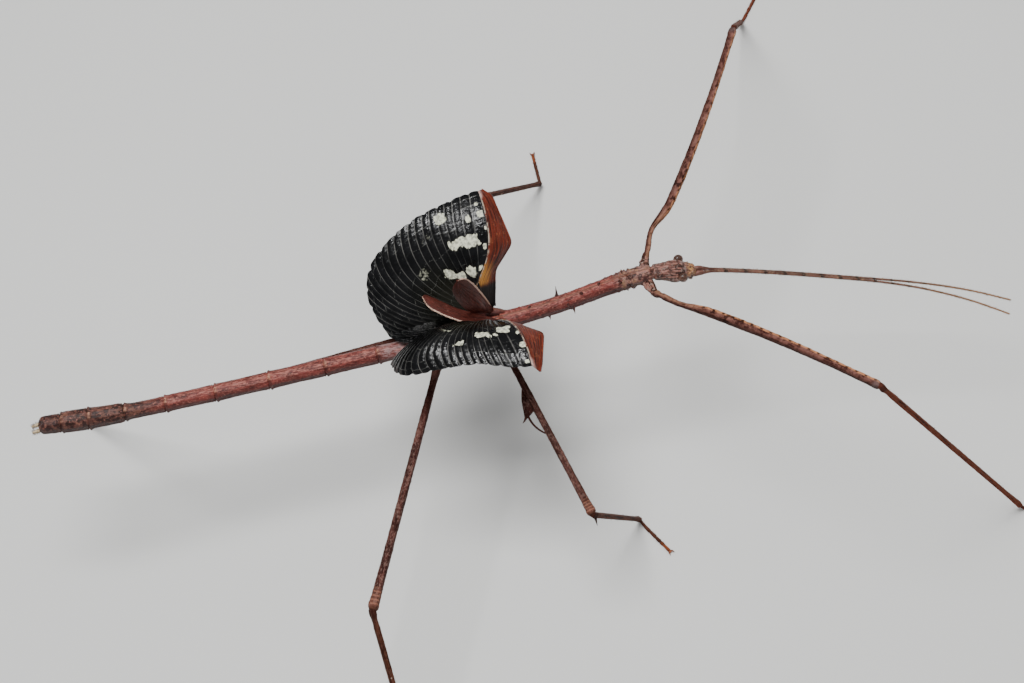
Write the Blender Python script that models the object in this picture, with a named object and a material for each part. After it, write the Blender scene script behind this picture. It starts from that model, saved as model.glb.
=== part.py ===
"""A gorgon stick insect: a winged male at life size, standing with its short hindwings spread.

Sizes are in millimetres and angles in degrees, and each mesh is scaled to metres as it is made.
X runs towards the head, Y to the insect's left and Z up. Headings turn from +X towards +Y.
Heights along the body are taken from the wing root, and the whole insect is set on the floor at the end.
"""

from typing import NamedTuple

import bmesh
import bpy
import numpy as np

MM = 0.001
GAP = 0.3

# Body
WING_ROOT_HEIGHT = 31.0
NECK_X = 23.7
HEAD_LENGTH = 6.8
SEGMENT_SIDES = 14
# Heights of the body's axis above the wing root, from the face to the last segment.
AXIS_X = (30.6, 28.0, 26.6, 25.1, 23.8, 20.2, 14.9, 9.6, 1.0, -7.0, -13.0, -26.5, -43.3, -57.0, -66.4, -70.0)
AXIS_Z = (0.5, 1.3, 1.87, 2.36, 2.6, 2.4, 1.25, 0.1, -0.86, -1.7, -2.0, -2.0, -1.9, -1.4, -0.2, 0.4)


class Segment(NamedTuple):
    """One ring of the body: its length, and its width at the front edge, the middle and the rear edge."""

    name: str
    length: float
    front: float
    middle: float
    rear: float


SEGMENTS = (
    Segment("prothorax", 3.4, 2.5, 2.7, 3.0),
    Segment("mesothorax", 19.7, 3.0, 2.6, 3.0),
    Segment("metathorax", 8.1, 2.9, 2.7, 2.8),
    Segment("abdomen_1", 3.1, 2.8, 2.7, 2.8),
    Segment("abdomen_2", 7.9, 2.8, 2.6, 2.8),
    Segment("abdomen_3", 8.0, 2.8, 2.65, 2.85),
    Segment("abdomen_4", 8.6, 2.85, 2.65, 2.8),
    Segment("abdomen_5", 8.2, 2.8, 2.6, 2.75),
    Segment("abdomen_6", 7.6, 2.75, 2.5, 2.65),
    Segment("abdomen_7", 6.1, 2.6, 2.4, 2.7),
    Segment("abdomen_8", 5.4, 2.75, 3.1, 3.45),
    Segment("abdomen_9", 4.0, 3.45, 3.3, 3.0),
    Segment("abdomen_10", 3.0, 3.0, 2.8, 2.5),
)
BODY_DEPTH_RATIO = 0.96
SHELL_EDGE_ROUND = 0.35
SPINE_RADIUS = 0.3
SPINE_SINK = 0.35
SPINE_SIDES = 6
# The mesothorax's spinelets: distance ahead of the wing root, degrees to the left of the back, and length.
MESOTHORAX_SPINES = (
    (9.4, 56.0, 1.5),
    (16.0, 2.0, 0.6),
    (13.1, -17.0, 0.8),
    (10.8, -60.0, 0.6),
    (11.4, -115.0, 0.9),
    (7.7, -118.0, 0.6),
    (11.4, 115.0, 0.9),
    (7.7, 118.0, 0.6),
)

# Head
HEAD_DEPTH_RATIO = 0.92
EYE_RADIUS = 0.7
EYE_X = 28.1
EYE_SIDE = 1.66
EYE_RISE = 0.68
CERCUS_LENGTH = 1.9
CERCUS_RADIUS = 0.3
CERCUS_SIDE = 0.5

# Antennae
ANTENNA_SIDES = 6
ANTENNA_STATIONS = 25
ANTENNA_RADIUS = 0.27
ANTENNA_TIP_RADIUS = 0.13
ANTENNA_ROOT_SIDE = 0.62
ANTENNA_SWING = -9.6
ANTENNA_DROOP = -12.6
ANTENNA_PART_SIDE = 0.39
ANTENNA_PART_DROP = 0.17
ANTENNA_TIP_SWING = {"antenna_left": 0.3, "antenna_right": -2.2}
ANTENNA_REACH = {"antenna_left": 45.0, "antenna_right": 44.1}
# How far a feeler stands off its plain curve, at these shares of its length, and the way it does.
ANTENNA_SAG_SHARES = (0.0, 0.16, 0.4, 0.55, 0.76, 0.88, 1.0)
ANTENNA_SAG = (-0.27, -0.3, -0.24, -0.07, 0.34, 0.34, 0.0)
ANTENNA_SAG_WAY = (0.0, 0.75, 0.7)

# Wings
WING_ROOT_X = -0.8
WING_ROOT_SIDE = 1.72
WING_ROOT_RISE = 1.3
# The wings are held unevenly: each place moves back by this share of its reach on the left, forward on the right.
WING_SKEW = 0.07
WING_FIRST_RAY = -14.0
WING_SIDE_RAY = 92.0
WING_ROOT_ARC = 0.5
WING_FRONT_BULGE = 1.2
WING_THICKNESS = 0.5
WING_VEINS = 13
WING_VEIN_STEPS = 4
WING_RADIAL_STEPS = 9
WING_VEIN_RIDGE = 0.35
WING_SCALLOP = 0.03
# Shares of the front plate's length at which its leading edge's places are given.
REMIGIUM_MARKS = (0.0, 0.33, 0.5, 0.9, 1.0)
REMIGIUM_STEPS = 12
REMIGIUM_ACROSS = 3


class Fan(NamedTuple):
    """A hindwing, spread as a dome: its rays in degrees behind straight out, and their reach over the floor.

    The first ray's end stands this high over the root, and the power says how slowly that falls off
    towards the abdomen. The bows bend the first and the last ray, and the dent hollows the front near the root.
    The leading edge is that of the stiff plate in front: its root, a hollow, a corner and the two ends of its tip.
    """

    rays: tuple
    reach: tuple
    rise: float
    power: float
    bows: tuple
    dent: float
    leading_edge: tuple


FANS = {
    "left": Fan(
        (-14.0, 12.0, 36.0, 51.0, 63.0, 75.0, 88.0, 99.0),
        (13.6, 12.5, 13.6, 15.1, 16.5, 16.8, 15.4, 13.5),
        11.0,
        2.6,
        (43.2, 16.0),
        1.9,
        ((1.0, 0.5, 0.0), (2.5, 4.3, 4.0), (5.95, 6.66, 6.2), (5.1, 13.3, 9.7), (4.0, 14.6, 9.75)),
    ),
    "right": Fan(
        (-14.0, 20.0, 45.0, 65.0, 76.7),
        (13.1, 11.0, 12.75, 16.4, 16.0),
        9.0,
        2.5,
        (54.9, 67.9),
        0.65,
        ((1.0, 0.5, 0.0), (3.15, 3.4, 5.0), (6.4, 6.7, 6.0), (4.7, 12.4, 7.7), (4.1, 13.9, 8.0)),
    ),
}


class Tegmen(NamedTuple):
    """A short leathery forewing: its root, its length and direction, and the direction of its breadth.

    The upper and lower widths reach each way from its middle line, at the shares in TEGMEN_SHARES.
    """

    root: tuple
    length: float
    heading: float
    rise: float
    breadth: tuple
    upper: tuple
    lower: tuple


TEGMEN_SHARES = (0.0, 0.15, 0.35, 0.55, 0.75, 0.9, 1.0)
TEGMEN_CUP = 0.35


TEGMINA = {
    "tegmen_left": Tegmen(
        (-0.5, 1.0, 1.95),
        11.7,
        191.0,
        71.0,
        (0.85, 0.35, 0.37),
        (0.3, 0.62, 0.9, 1.1, 1.17, 0.95, 0.3),
        (0.3, 1.35, 2.3, 2.33, 2.05, 1.45, 0.4),
    ),
    "tegmen_right": Tegmen(
        (0.1, -1.3, 1.95),
        12.0,
        159.2,
        26.8,
        (0.23, 0.92, -0.23),
        (0.3, 0.45, 0.45, 0.32, 0.68, 0.9, 0.4),
        (0.3, 0.66, 1.87, 2.03, 1.78, 1.25, 0.2),
    ),
}

# Legs
LEG_SIDES = 8
COXA_RADIUS = 0.62
COXA_LENGTH = 1.5
ANKLE_HEIGHT = 0.95
TARSUS_RADIUS = 0.33
TARSUS_FLAT = 0.55
TARSUS_JOINTS = 5
CLAW_LENGTH = 0.8
CLAW_RADIUS = 0.2
LOBE_HEIGHT = 1.6
LOBE_START = 0.2
LOBE_END = 0.45
KNEE_SPINE_LENGTH = 1.7
KNEE_SPINE_RADIUS = 0.22


class Leg(NamedTuple):
    """A leg: where its hip is, and the length and direction of each length of it.

    The tibia's slope is the one that brings its end down to the ankle's height.
    """

    hip_x: float
    hip_drop: float
    side: int
    femur: float
    femur_heading: float
    femur_rise: float
    tibia: float
    tibia_heading: float
    tarsus: float
    tarsus_heading: float
    femur_widths: tuple
    tibia_width: float
    bow: float
    dip: float
    lobed: bool


FEMUR_SHARES = (0.0, 0.13, 0.21, 0.5, 0.85, 0.95)
FORE_FEMUR_WIDTHS = (0.75, 0.78, 1.2, 1.25, 1.1, 1.15)
MID_FEMUR_WIDTHS = (1.0, 1.0, 1.05, 1.1, 1.2, 1.4)
HIND_FEMUR_WIDTHS = (1.0, 1.05, 1.15, 1.2, 1.3, 1.45)

LEGS = {
    "foreleg_left": Leg(
        23.0, 0.5, 1, 41.5, 57.5, 5.7, 46.0, 78.0, 7.5, 53.6, FORE_FEMUR_WIDTHS, 0.85, 0.75, 0.95, False
    ),
    "foreleg_right": Leg(
        23.0, 0.5, -1, 40.5, -48.1, 13.2, 46.0, -6.8, 7.5, -35.0, FORE_FEMUR_WIDTHS, 0.85, 0.75, 0.45, False
    ),
    "midleg_left": Leg(
        -0.7, 0.9, 1, 29.6, 83.7, -20.0, 23.5, 52.2, 6.5, 90.2, MID_FEMUR_WIDTHS, 0.8, 0.0, 0.0, True
    ),
    "midleg_right": Leg(
        -0.3, 0.9, -1, 29.4, -75.5, -13.3, 23.9, 50.8, 7.0, -61.6, MID_FEMUR_WIDTHS, 0.8, 0.0, 0.0, True
    ),
    "hindleg_left": Leg(
        -7.4, 1.3, 1, 41.0, 181.8, -1.6, 36.0, 138.0, 6.5, 173.3, HIND_FEMUR_WIDTHS, 0.85, 0.0, 0.0, False
    ),
    "hindleg_right": Leg(
        -9.6, 0.8, -1, 41.0, -114.2, -1.3, 36.0, -88.0, 6.5, -80.0, HIND_FEMUR_WIDTHS, 0.85, 0.0, 0.0, False
    ),
}

# Colours
BROWN = (0.20, 0.085, 0.065)
HEAD_BROWN = (0.19, 0.115, 0.08)
LEG_BROWN = (0.19, 0.09, 0.06)
WING_BLACK = (0.012, 0.012, 0.014)
REMIGIUM_RED = (0.30, 0.085, 0.05)
TEGMEN_RED = (0.13, 0.045, 0.035)
EYE_BROWN = (0.16, 0.11, 0.08)
CERCUS_CREAM = (0.75, 0.62, 0.42)


def smooth_through(xs, ys, x):
    """Cubic Hermite curve through the points, with the slope at each point the mean of its two sides' slopes."""
    xs = np.asarray(xs, float)
    ys = np.asarray(ys, float)
    if xs[0] > xs[-1]:
        xs, ys = xs[::-1], ys[::-1]
    runs = np.diff(xs)
    grades = np.diff(ys) / runs
    slopes = np.concatenate([grades[:1], (grades[1:] + grades[:-1]) / 2, grades[-1:]])
    x = np.clip(x, xs[0], xs[-1])
    i = np.clip(np.searchsorted(xs, x) - 1, 0, len(runs) - 1)
    t = (x - xs[i]) / runs[i]
    return (
        ys[i] * (1 + 2 * t) * (1 - t) ** 2
        + slopes[i] * runs[i] * t * (1 - t) ** 2
        + ys[i + 1] * t**2 * (3 - 2 * t)
        + slopes[i + 1] * runs[i] * t**2 * (t - 1)
    )


def unit(vector):
    vector = np.asarray(vector, float)
    return vector / np.linalg.norm(vector, axis=-1, keepdims=True)


def direction(heading, rise):
    heading, rise = np.radians(heading), np.radians(rise)
    return np.array([np.cos(heading) * np.cos(rise), np.sin(heading) * np.cos(rise), np.sin(rise)])


def axis_height(x):
    return smooth_through(AXIS_X, AXIS_Z, x)


def axis_points(xs):
    """Places on the body's axis at these distances ahead of the wing root."""
    xs = np.asarray(xs, float)
    return np.stack([xs, np.zeros_like(xs), axis_height(xs)], axis=-1)


def material(name, colour, roughness):
    made = bpy.data.materials.new(name)
    made.use_nodes = True
    shader = made.node_tree.nodes["Principled BSDF"]
    shader.inputs["Base Color"].default_value = (*colour, 1.0)
    shader.inputs["Roughness"].default_value = roughness
    shader.inputs["Metallic"].default_value = 0.0
    return made


def add_object(name, points, faces, finish, smooth=True):
    """An object from points in millimetres, with its faces turned outwards."""
    mesh = bpy.data.meshes.new(name)
    mesh.from_pydata((np.asarray(points) * MM).tolist(), [], faces)
    shape = bmesh.new()
    shape.from_mesh(mesh)
    bmesh.ops.recalc_face_normals(shape, faces=shape.faces)
    shape.to_mesh(mesh)
    shape.free()
    mesh.materials.append(finish)
    if smooth:
        mesh.shade_smooth()
        mesh.set_sharp_from_angle(angle=np.radians(45))
    made = bpy.data.objects.new(name, mesh)
    bpy.context.scene.collection.objects.link(made)
    return made


def sweep(path, half_widths, half_depths, sides, up=(0.0, 0.0, 1.0), swell=None):
    """Closed tube along a path: an ellipse at each station, square to the path, with flat ends.

    swell, where given, is an array of stations by sides that multiplies the ellipse's radius.
    """
    path = np.asarray(path, float)
    along = unit(np.gradient(path, axis=0))
    across = unit(np.cross(np.asarray(up, float), along))
    over = np.cross(along, across)
    turn = np.arange(sides) * 2 * np.pi / sides
    scale = np.ones((len(path), sides)) if swell is None else swell
    rings = (
        path[:, None]
        + across[:, None] * (np.asarray(half_widths)[:, None] * scale * np.cos(turn))[..., None]
        + over[:, None] * (np.asarray(half_depths)[:, None] * scale * np.sin(turn))[..., None]
    )
    return rings.reshape(-1, 3), ring_faces(len(path), sides)


def ring_faces(stations, sides):
    """Quads between neighbouring rings, and one face over each end."""
    side = np.arange(sides)
    faces = []
    for station in range(stations - 1):
        start = station * sides
        nxt = (side + 1) % sides
        faces += np.stack(
            [start + side, start + nxt, start + sides + nxt, start + sides + side], axis=1
        ).tolist()
    faces.append(list(range(sides)))
    faces.append(list(range((stations - 1) * sides, stations * sides)))
    return faces


def sheet(middle, normals, thickness):
    """Closed plate from a grid of points: both faces are the grid moved half the thickness, split alike."""
    rows, columns = middle.shape[:2]
    upper = middle + normals * thickness / 2
    lower = middle - normals * thickness / 2
    points = np.concatenate([upper.reshape(-1, 3), lower.reshape(-1, 3)])
    index = np.arange(rows * columns).reshape(rows, columns)
    a, b = index[:-1, :-1].ravel(), index[:-1, 1:].ravel()
    c, d = index[1:, 1:].ravel(), index[1:, :-1].ravel()
    top = np.concatenate([np.stack([a, b, c], 1), np.stack([a, c, d], 1)])
    under = top[:, ::-1] + rows * columns
    edge = np.concatenate([index[0, :], index[1:, -1], index[-1, -2::-1], index[-2:0:-1, 0]])
    following = np.roll(edge, -1)
    rim = np.concatenate(
        [
            np.stack([edge, edge + rows * columns, following + rows * columns], 1),
            np.stack([edge, following + rows * columns, following], 1),
        ]
    )
    return points, np.concatenate([top, under, rim]).tolist()


def grid_normals(grid):
    """Unit normals of a grid of points, from the steps to its neighbours."""
    return unit(np.cross(np.gradient(grid, axis=0), np.gradient(grid, axis=1)))


def largest_shell(made):
    """Keeps an object's largest closed surface and removes loose scraps."""
    shape = bmesh.new()
    shape.from_mesh(made.data)
    waiting = set(shape.faces)
    shells = []
    while waiting:
        front = [waiting.pop()]
        shell = set(front)
        while front:
            for edge in front.pop().edges:
                for face in edge.link_faces:
                    if face in waiting:
                        waiting.remove(face)
                        shell.add(face)
                        front.append(face)
        shells.append(shell)
    shells.sort(key=len)
    scraps = [face for shell in shells[:-1] for face in shell]
    bmesh.ops.delete(shape, geom=scraps, context="FACES")
    shape.to_mesh(made.data)
    shape.free()


def fuse(made, pieces):
    """Joins closed pieces to an object with one union, and removes the pieces."""
    group = bpy.data.collections.new(made.name + "_pieces")
    bpy.context.scene.collection.children.link(group)
    for piece in pieces:
        bpy.context.scene.collection.objects.unlink(piece)
        group.objects.link(piece)
    union = made.modifiers.new("Join", "BOOLEAN")
    union.operation = "UNION"
    union.operand_type = "COLLECTION"
    union.collection = group
    union.solver = "EXACT"
    graph = bpy.context.evaluated_depsgraph_get()
    joined = bpy.data.meshes.new_from_object(made.evaluated_get(graph))
    made.modifiers.clear()
    made.data = joined
    for piece in pieces:
        bpy.data.objects.remove(piece)
    bpy.data.collections.remove(group)
    largest_shell(made)


def spine(name, root, lean, length, radius, finish):
    """Sharp cone with its root sunk into what carries it."""
    lean = unit(lean)
    path = np.asarray(root) + lean * np.array([-SPINE_SINK, length * 0.55, length])[:, None]
    radii = np.array([radius, radius * 0.5, radius * 0.12])
    points, faces = sweep(path, radii, radii, SPINE_SIDES, up=(1.0, 0.13, 0.0))
    return add_object(name, points, faces, finish)


# Body


def segment_stations(segment, front_x):
    """Distances ahead of the wing root and half widths along one segment, with rounded edges."""
    ends = np.array([front_x - GAP / 2, front_x - segment.length + GAP / 2])
    round_in = SHELL_EDGE_ROUND
    steps = max(3, int(segment.length / 1.6))
    inner = np.linspace(ends[0] - round_in, ends[1] + round_in, steps)
    xs = np.concatenate([ends[:1], inner, ends[1:]])
    share = (ends[0] - xs) / (ends[0] - ends[1])
    widths = smooth_through((0.0, 0.12, 0.5, 0.88, 1.0), (
        segment.front, (segment.front + 2 * segment.middle) / 3, segment.middle,
        (segment.rear + 2 * segment.middle) / 3, segment.rear), share)
    halves = widths / 2
    halves[[0, -1]] -= SHELL_EDGE_ROUND / 2
    return xs, halves


def build_segment(segment, front_x, finish):
    xs, halves = segment_stations(segment, front_x)
    points, faces = sweep(axis_points(xs), halves, halves * BODY_DEPTH_RATIO, SEGMENT_SIDES)
    return add_object(segment.name, points, faces, finish)


def surface_half(x):
    """Half width of the body at a distance ahead of the wing root."""
    front = NECK_X
    for segment in SEGMENTS:
        if x > front - segment.length:
            break
        front -= segment.length
    xs, halves = segment_stations(segment, front)
    return float(np.interp(-x, -xs, halves))


def on_body(x, round_degrees):
    """A place on the body's surface and the way out of it, round_degrees to the left of the back."""
    turn = np.radians(round_degrees)
    out = np.array([0.0, np.sin(turn), np.cos(turn)])
    reach = surface_half(x) * np.array([1.0, 1.0, BODY_DEPTH_RATIO])
    return axis_points(x) + out * reach, out


def build_body(skin):
    front = NECK_X
    for segment in SEGMENTS:
        made = build_segment(segment, front, skin)
        if segment.name == "mesothorax":
            pieces = []
            for number, (x, turn, length) in enumerate(MESOTHORAX_SPINES):
                root, out = on_body(x, turn)
                pieces.append(
                    spine(f"spinelet_{number}", root, out + (0.15, 0, 0), length, SPINE_RADIUS, skin)
                )
            fuse(made, pieces)
        front -= segment.length


def build_cerci(cream):
    rear = NECK_X - sum(segment.length for segment in SEGMENTS)
    for name, side in (("cercus_left", 1), ("cercus_right", -1)):
        reach = np.linspace(0, CERCUS_LENGTH, 5)
        start = axis_points(rear - GAP / 2) + (0, side * CERCUS_SIDE, -0.25)
        path = start + np.stack([-reach, side * 0.06 * reach, -0.18 * reach], axis=1)
        radii = CERCUS_RADIUS * np.array([0.85, 1.0, 0.95, 0.75, 0.35])
        points, faces = sweep(path, radii, radii, LEG_SIDES)
        add_object(name, points, faces, cream)


# Head


def head_stations():
    """Distances along the head from the neck, with its half widths and half depths."""
    share = np.array([0.0, 0.04, 0.12, 0.2, 0.3, 0.41, 0.52, 0.63, 0.74, 0.85, 0.95, 1.0])
    widths = np.array([0.95, 1.15, 1.27, 1.3, 1.42, 1.58, 1.68, 1.7, 1.46, 1.12, 0.82, 0.55])
    return NECK_X + GAP / 2 + share * (HEAD_LENGTH - GAP), widths, widths * HEAD_DEPTH_RATIO


def build_head(skin):
    xs, widths, depths = head_stations()
    points, faces = sweep(axis_points(xs), widths, depths, SEGMENT_SIDES)
    head = add_object("head", points, faces, skin)
    for name, side in (("eye_left", 1), ("eye_right", -1)):
        build_eye(name, side, head)
    return head


def build_eye(name, side, head):
    """A globe let into the side of the head, which has a socket cut for it."""
    centre = axis_points(EYE_X) + (0, side * EYE_SIDE, EYE_RISE)
    for radius, label in ((EYE_RADIUS, name), (EYE_RADIUS + GAP, name + "_socket")):
        turn = np.linspace(0, np.pi, 9)[1:-1]
        path = centre + np.stack([np.cos(turn), 0 * turn, 0 * turn], axis=1) * radius
        halves = np.sin(turn) * radius
        points, faces = sweep(path, halves, halves, 12)
        made = add_object(label, points, faces, material(label, EYE_BROWN, 0.3))
        if radius > EYE_RADIUS:
            cut = head.modifiers.new("Socket", "BOOLEAN")
            cut.operation = "DIFFERENCE"
            cut.object = made
            cut.solver = "EXACT"
            graph = bpy.context.evaluated_depsgraph_get()
            carved = bpy.data.meshes.new_from_object(head.evaluated_get(graph))
            head.modifiers.clear()
            head.data = carved
            bpy.data.objects.remove(made)


def build_antenna(name, side, skin):
    """A long feeler that sags forward and to the right, close beside its twin until it parts near the tip."""
    share = np.linspace(0, 1, ANTENNA_STATIONS)
    root = axis_points(NECK_X + HEAD_LENGTH) + (GAP * 0.6, 0, 0.1)
    settle = np.clip(share / 0.16, 0, 1) ** 0.8
    part = np.clip(share * 2.2 - 1.2, 0, 1) ** 1.6
    aside = side * (ANTENNA_ROOT_SIDE + (ANTENNA_PART_SIDE - ANTENNA_ROOT_SIDE) * settle)
    sideways = aside + ANTENNA_SWING * share**1.3 + ANTENNA_TIP_SWING[name] * part
    down = ANTENNA_DROOP * share**1.1 - side * ANTENNA_PART_DROP * settle
    sag = smooth_through(ANTENNA_SAG_SHARES, ANTENNA_SAG, share)[:, None] * ANTENNA_SAG_WAY
    path = root + np.stack([ANTENNA_REACH[name] * share, sideways, down], axis=1) + sag
    radii = ANTENNA_RADIUS + (ANTENNA_TIP_RADIUS - ANTENNA_RADIUS) * share**1.3
    radii = radii * np.where(share < 0.03, 1.3, 1.0)
    points, faces = sweep(path, radii, radii, ANTENNA_SIDES)
    add_object(name, points, faces, skin)


# Wings


def fan_ray(fan, ray, reach):
    """Places on a hindwing: ray in degrees behind straight out, reach from 0 at the root to 1 at the margin.

    Each ray is an arc over its chord. The chord's rise falls off towards the abdomen.
    """
    outward = smooth_through(fan.rays, fan.reach, ray)
    behind = np.clip(ray / WING_SIDE_RAY, 0, 1)
    lift = fan.rise * (1 - behind**fan.power)
    slope = np.arctan2(lift, outward)
    bow = np.radians(fan.bows[0] + (fan.bows[1] - fan.bows[0]) * behind)
    chord = np.hypot(outward, lift)
    # An arc of constant bend, as a share of its chord: it leaves at slope + bow and arrives at slope - bow.
    run = chord * (np.sin(slope + bow) - np.sin(slope + bow * (1 - 2 * reach))) / (2 * np.sin(bow))
    rise = chord * (np.cos(slope + bow * (1 - 2 * reach)) - np.cos(slope + bow)) / (2 * np.sin(bow))
    turn = np.radians(ray)
    run = run + WING_ROOT_ARC
    front = 1 - np.clip((ray - WING_FIRST_RAY) / 30, 0, 1)
    bulge = WING_FRONT_BULGE * np.sin(np.pi * np.clip(reach, 0, 1) ** 1.3) * front**2
    settle = np.clip(reach / 0.12, 0, 1)
    dent = fan.dent * np.exp(-(((reach - 0.2) / 0.2) ** 2)) * settle**2 * (3 - 2 * settle) * front**1.5
    return np.stack([bulge - dent - run * np.sin(turn), run * np.cos(turn), rise], axis=-1)


def wing_place(places, side):
    """Moves places on the left wing, taken from its root, to the wing of this side."""
    root = axis_points(WING_ROOT_X) + (0, WING_ROOT_SIDE, WING_ROOT_RISE)
    skew = places[..., 1] * side * WING_SKEW
    return (places + root) * np.array([1, side, 1]) - skew[..., None] * np.array([1, 0, 0])


def build_hindwing(name, fan, side, black):
    columns = WING_VEINS * WING_VEIN_STEPS + 1
    ray = np.linspace(WING_FIRST_RAY, fan.rays[-1], columns)[None, :]
    reach = np.linspace(0, 1, WING_RADIAL_STEPS + 1)[:, None]
    vein = np.cos(np.linspace(0, WING_VEINS, columns) * 2 * np.pi)[None, :]
    scallop = 1 - WING_SCALLOP * (0.5 + 0.5 * vein) * reach
    middle = fan_ray(fan, ray + 0 * reach, reach * scallop)
    normals = grid_normals(middle)
    normals *= np.sign(normals[..., 2:])
    ridge = WING_VEIN_RIDGE * np.clip(vein, 0, 1) ** 2 * np.clip(reach * 4, 0, 1)
    middle = middle + normals * ridge[..., None]
    points, faces = sheet(middle, normals, WING_THICKNESS)
    return add_object(name, wing_place(points, side), faces, black)


def build_remigium(name, fan, side, red):
    """The stiff front plate, between the fan's first ray and the leading edge."""
    along = np.linspace(0, 1, REMIGIUM_STEPS + 1)[:, None]
    across = np.linspace(0, 1, REMIGIUM_ACROSS + 1)[None, :]
    inner = fan_ray(fan, np.full_like(along, WING_FIRST_RAY), along)[:, 0]
    lead = fan_ray(fan, np.full_like(along, WING_FIRST_RAY - 6), along)[:, 0] - inner
    inner = inner + unit(lead + (0.02, 0, 0)) * (WING_THICKNESS / 2 + GAP)
    edge = np.array(fan.leading_edge)
    outer = np.stack([np.interp(along[:, 0], REMIGIUM_MARKS, edge[:, k]) for k in range(3)], axis=1)
    middle = inner[:, None] * (1 - across[..., None]) + outer[:, None] * across[..., None]
    normals = grid_normals(middle)
    normals *= np.sign(normals[..., 2:])
    points, faces = sheet(middle, normals, WING_THICKNESS)
    return add_object(name, wing_place(points, side), faces, red)


def build_tegmen(name, wing, red):
    """A leaf-shaped forewing, narrow at its root, broadest past the middle and cupped along its length."""
    along = np.linspace(0, 1, 11)[:, None]
    across = np.linspace(-1, 1, 5)[None, :]
    upper, lower = (smooth_through(TEGMEN_SHARES, widths, along) for widths in (wing.upper, wing.lower))
    half = (upper + lower) / 2
    axis = direction(wing.heading, wing.rise)
    breadth = unit(np.array(wing.breadth) - axis * (np.array(wing.breadth) @ axis))
    face = np.cross(axis, breadth)
    root = axis_points(wing.root[0]) + (0, wing.root[1], wing.root[2])
    middle = (
        root
        + axis * (along * wing.length)[..., None]
        + breadth * (across * half + (upper - lower) / 2)[..., None]
        + face * (TEGMEN_CUP * across**2 * half / half.max())[..., None]
    )
    points, faces = sheet(middle, grid_normals(middle), WING_THICKNESS)
    return add_object(name, points, faces, red)


# Legs


def leg_points(leg):
    """Hip, end of the coxa, knee, ankle and toe of a leg."""
    out = direction(leg.femur_heading, 0)
    half = surface_half(leg.hip_x)
    centre = axis_points(leg.hip_x) - (0, 0, leg.hip_drop)
    hip = centre + np.array([0, leg.side, 0]) * (half + GAP)
    socket = hip + unit(out * 0.8 + (0, leg.side, -0.35)) * COXA_LENGTH
    knee = socket + direction(leg.femur_heading, leg.femur_rise) * leg.femur
    ankle_z = ANKLE_HEIGHT - WING_ROOT_HEIGHT
    drop = (ankle_z - knee[2]) / leg.tibia
    ankle = knee + direction(leg.tibia_heading, np.degrees(np.arcsin(drop))) * leg.tibia
    toe = ankle + direction(leg.tarsus_heading, 0) * leg.tarsus
    return hip, socket, knee, ankle, toe


def build_coxa(name, leg, hip, socket, skin):
    path = np.linspace(hip, socket, 4)
    radii = COXA_RADIUS * np.array([0.9, 1.0, 0.85, 0.62])
    points, faces = sweep(path, radii, radii, LEG_SIDES, up=(0.3, 0.0, 1.0))
    add_object(name, points, faces, skin)


def build_femur(name, leg, socket, knee, skin):
    """The thigh, keeled above and below; a fore one is slim at its root and bowed forward."""
    share = np.concatenate([[0.0, 0.03], np.linspace(0.08, 0.92, 12), [0.96, 0.985, 1.0]])
    way = unit(knee - socket)
    start = socket + way * GAP
    forward = unit(np.array([1.0, 0, 0]) - way * way[0])
    bow = leg.bow * np.sin(np.pi * share) - leg.dip * np.exp(-(((share - 0.12) / 0.07) ** 2))
    path = start + way * (share * (leg.femur - 2 * GAP))[:, None] + forward * bow[:, None]
    widths = smooth_through(FEMUR_SHARES, leg.femur_widths, share)
    halves = widths / 2 * np.where(share > 0.99, 0.72, 1.0) * np.where(share < 0.01, 0.85, 1.0)
    swell = np.ones((len(share), LEG_SIDES))
    swell[:, [1, 3, 5, 7]] = 1.08
    if leg.lobed:
        inside = np.clip((share - LOBE_START) / (LOBE_END - LOBE_START), 0, 1)
        lobe = np.where(inside < 1, inside**0.8, 0)
        rear = 0 if leg.side > 0 else 4
        swell[:, rear] += lobe * LOBE_HEIGHT / halves
    points, faces = sweep(path, halves, halves * 0.92, LEG_SIDES, swell=swell)
    add_object(name, points, faces, skin)


def build_tibia(name, leg, knee, ankle, skin):
    share = np.concatenate([[0.0, 0.02], np.linspace(0.06, 0.94, 9), [0.975, 1.0]])
    way = unit(ankle - knee)
    start = knee + way * GAP
    path = start + way * (share * (leg.tibia - 2 * GAP))[:, None]
    halves = leg.tibia_width / 2 * (1 - 0.18 * share + 0.35 * np.clip(share * 8 - 7, 0, 1))
    halves = halves * np.where(share < 0.01, 0.75, 1.0) * np.where(share > 0.99, 0.8, 1.0)
    points, faces = sweep(path, halves, halves, LEG_SIDES, up=(0.35, 0.2, 1.0))
    shin = add_object(name, points, faces, skin)
    if leg.lobed:
        lean = (0, leg.side * 0.85, -0.53)
        spike = spine(name + "_spike", path[2], lean, KNEE_SPINE_LENGTH, KNEE_SPINE_RADIUS, skin)
        fuse(shin, [spike])


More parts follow.
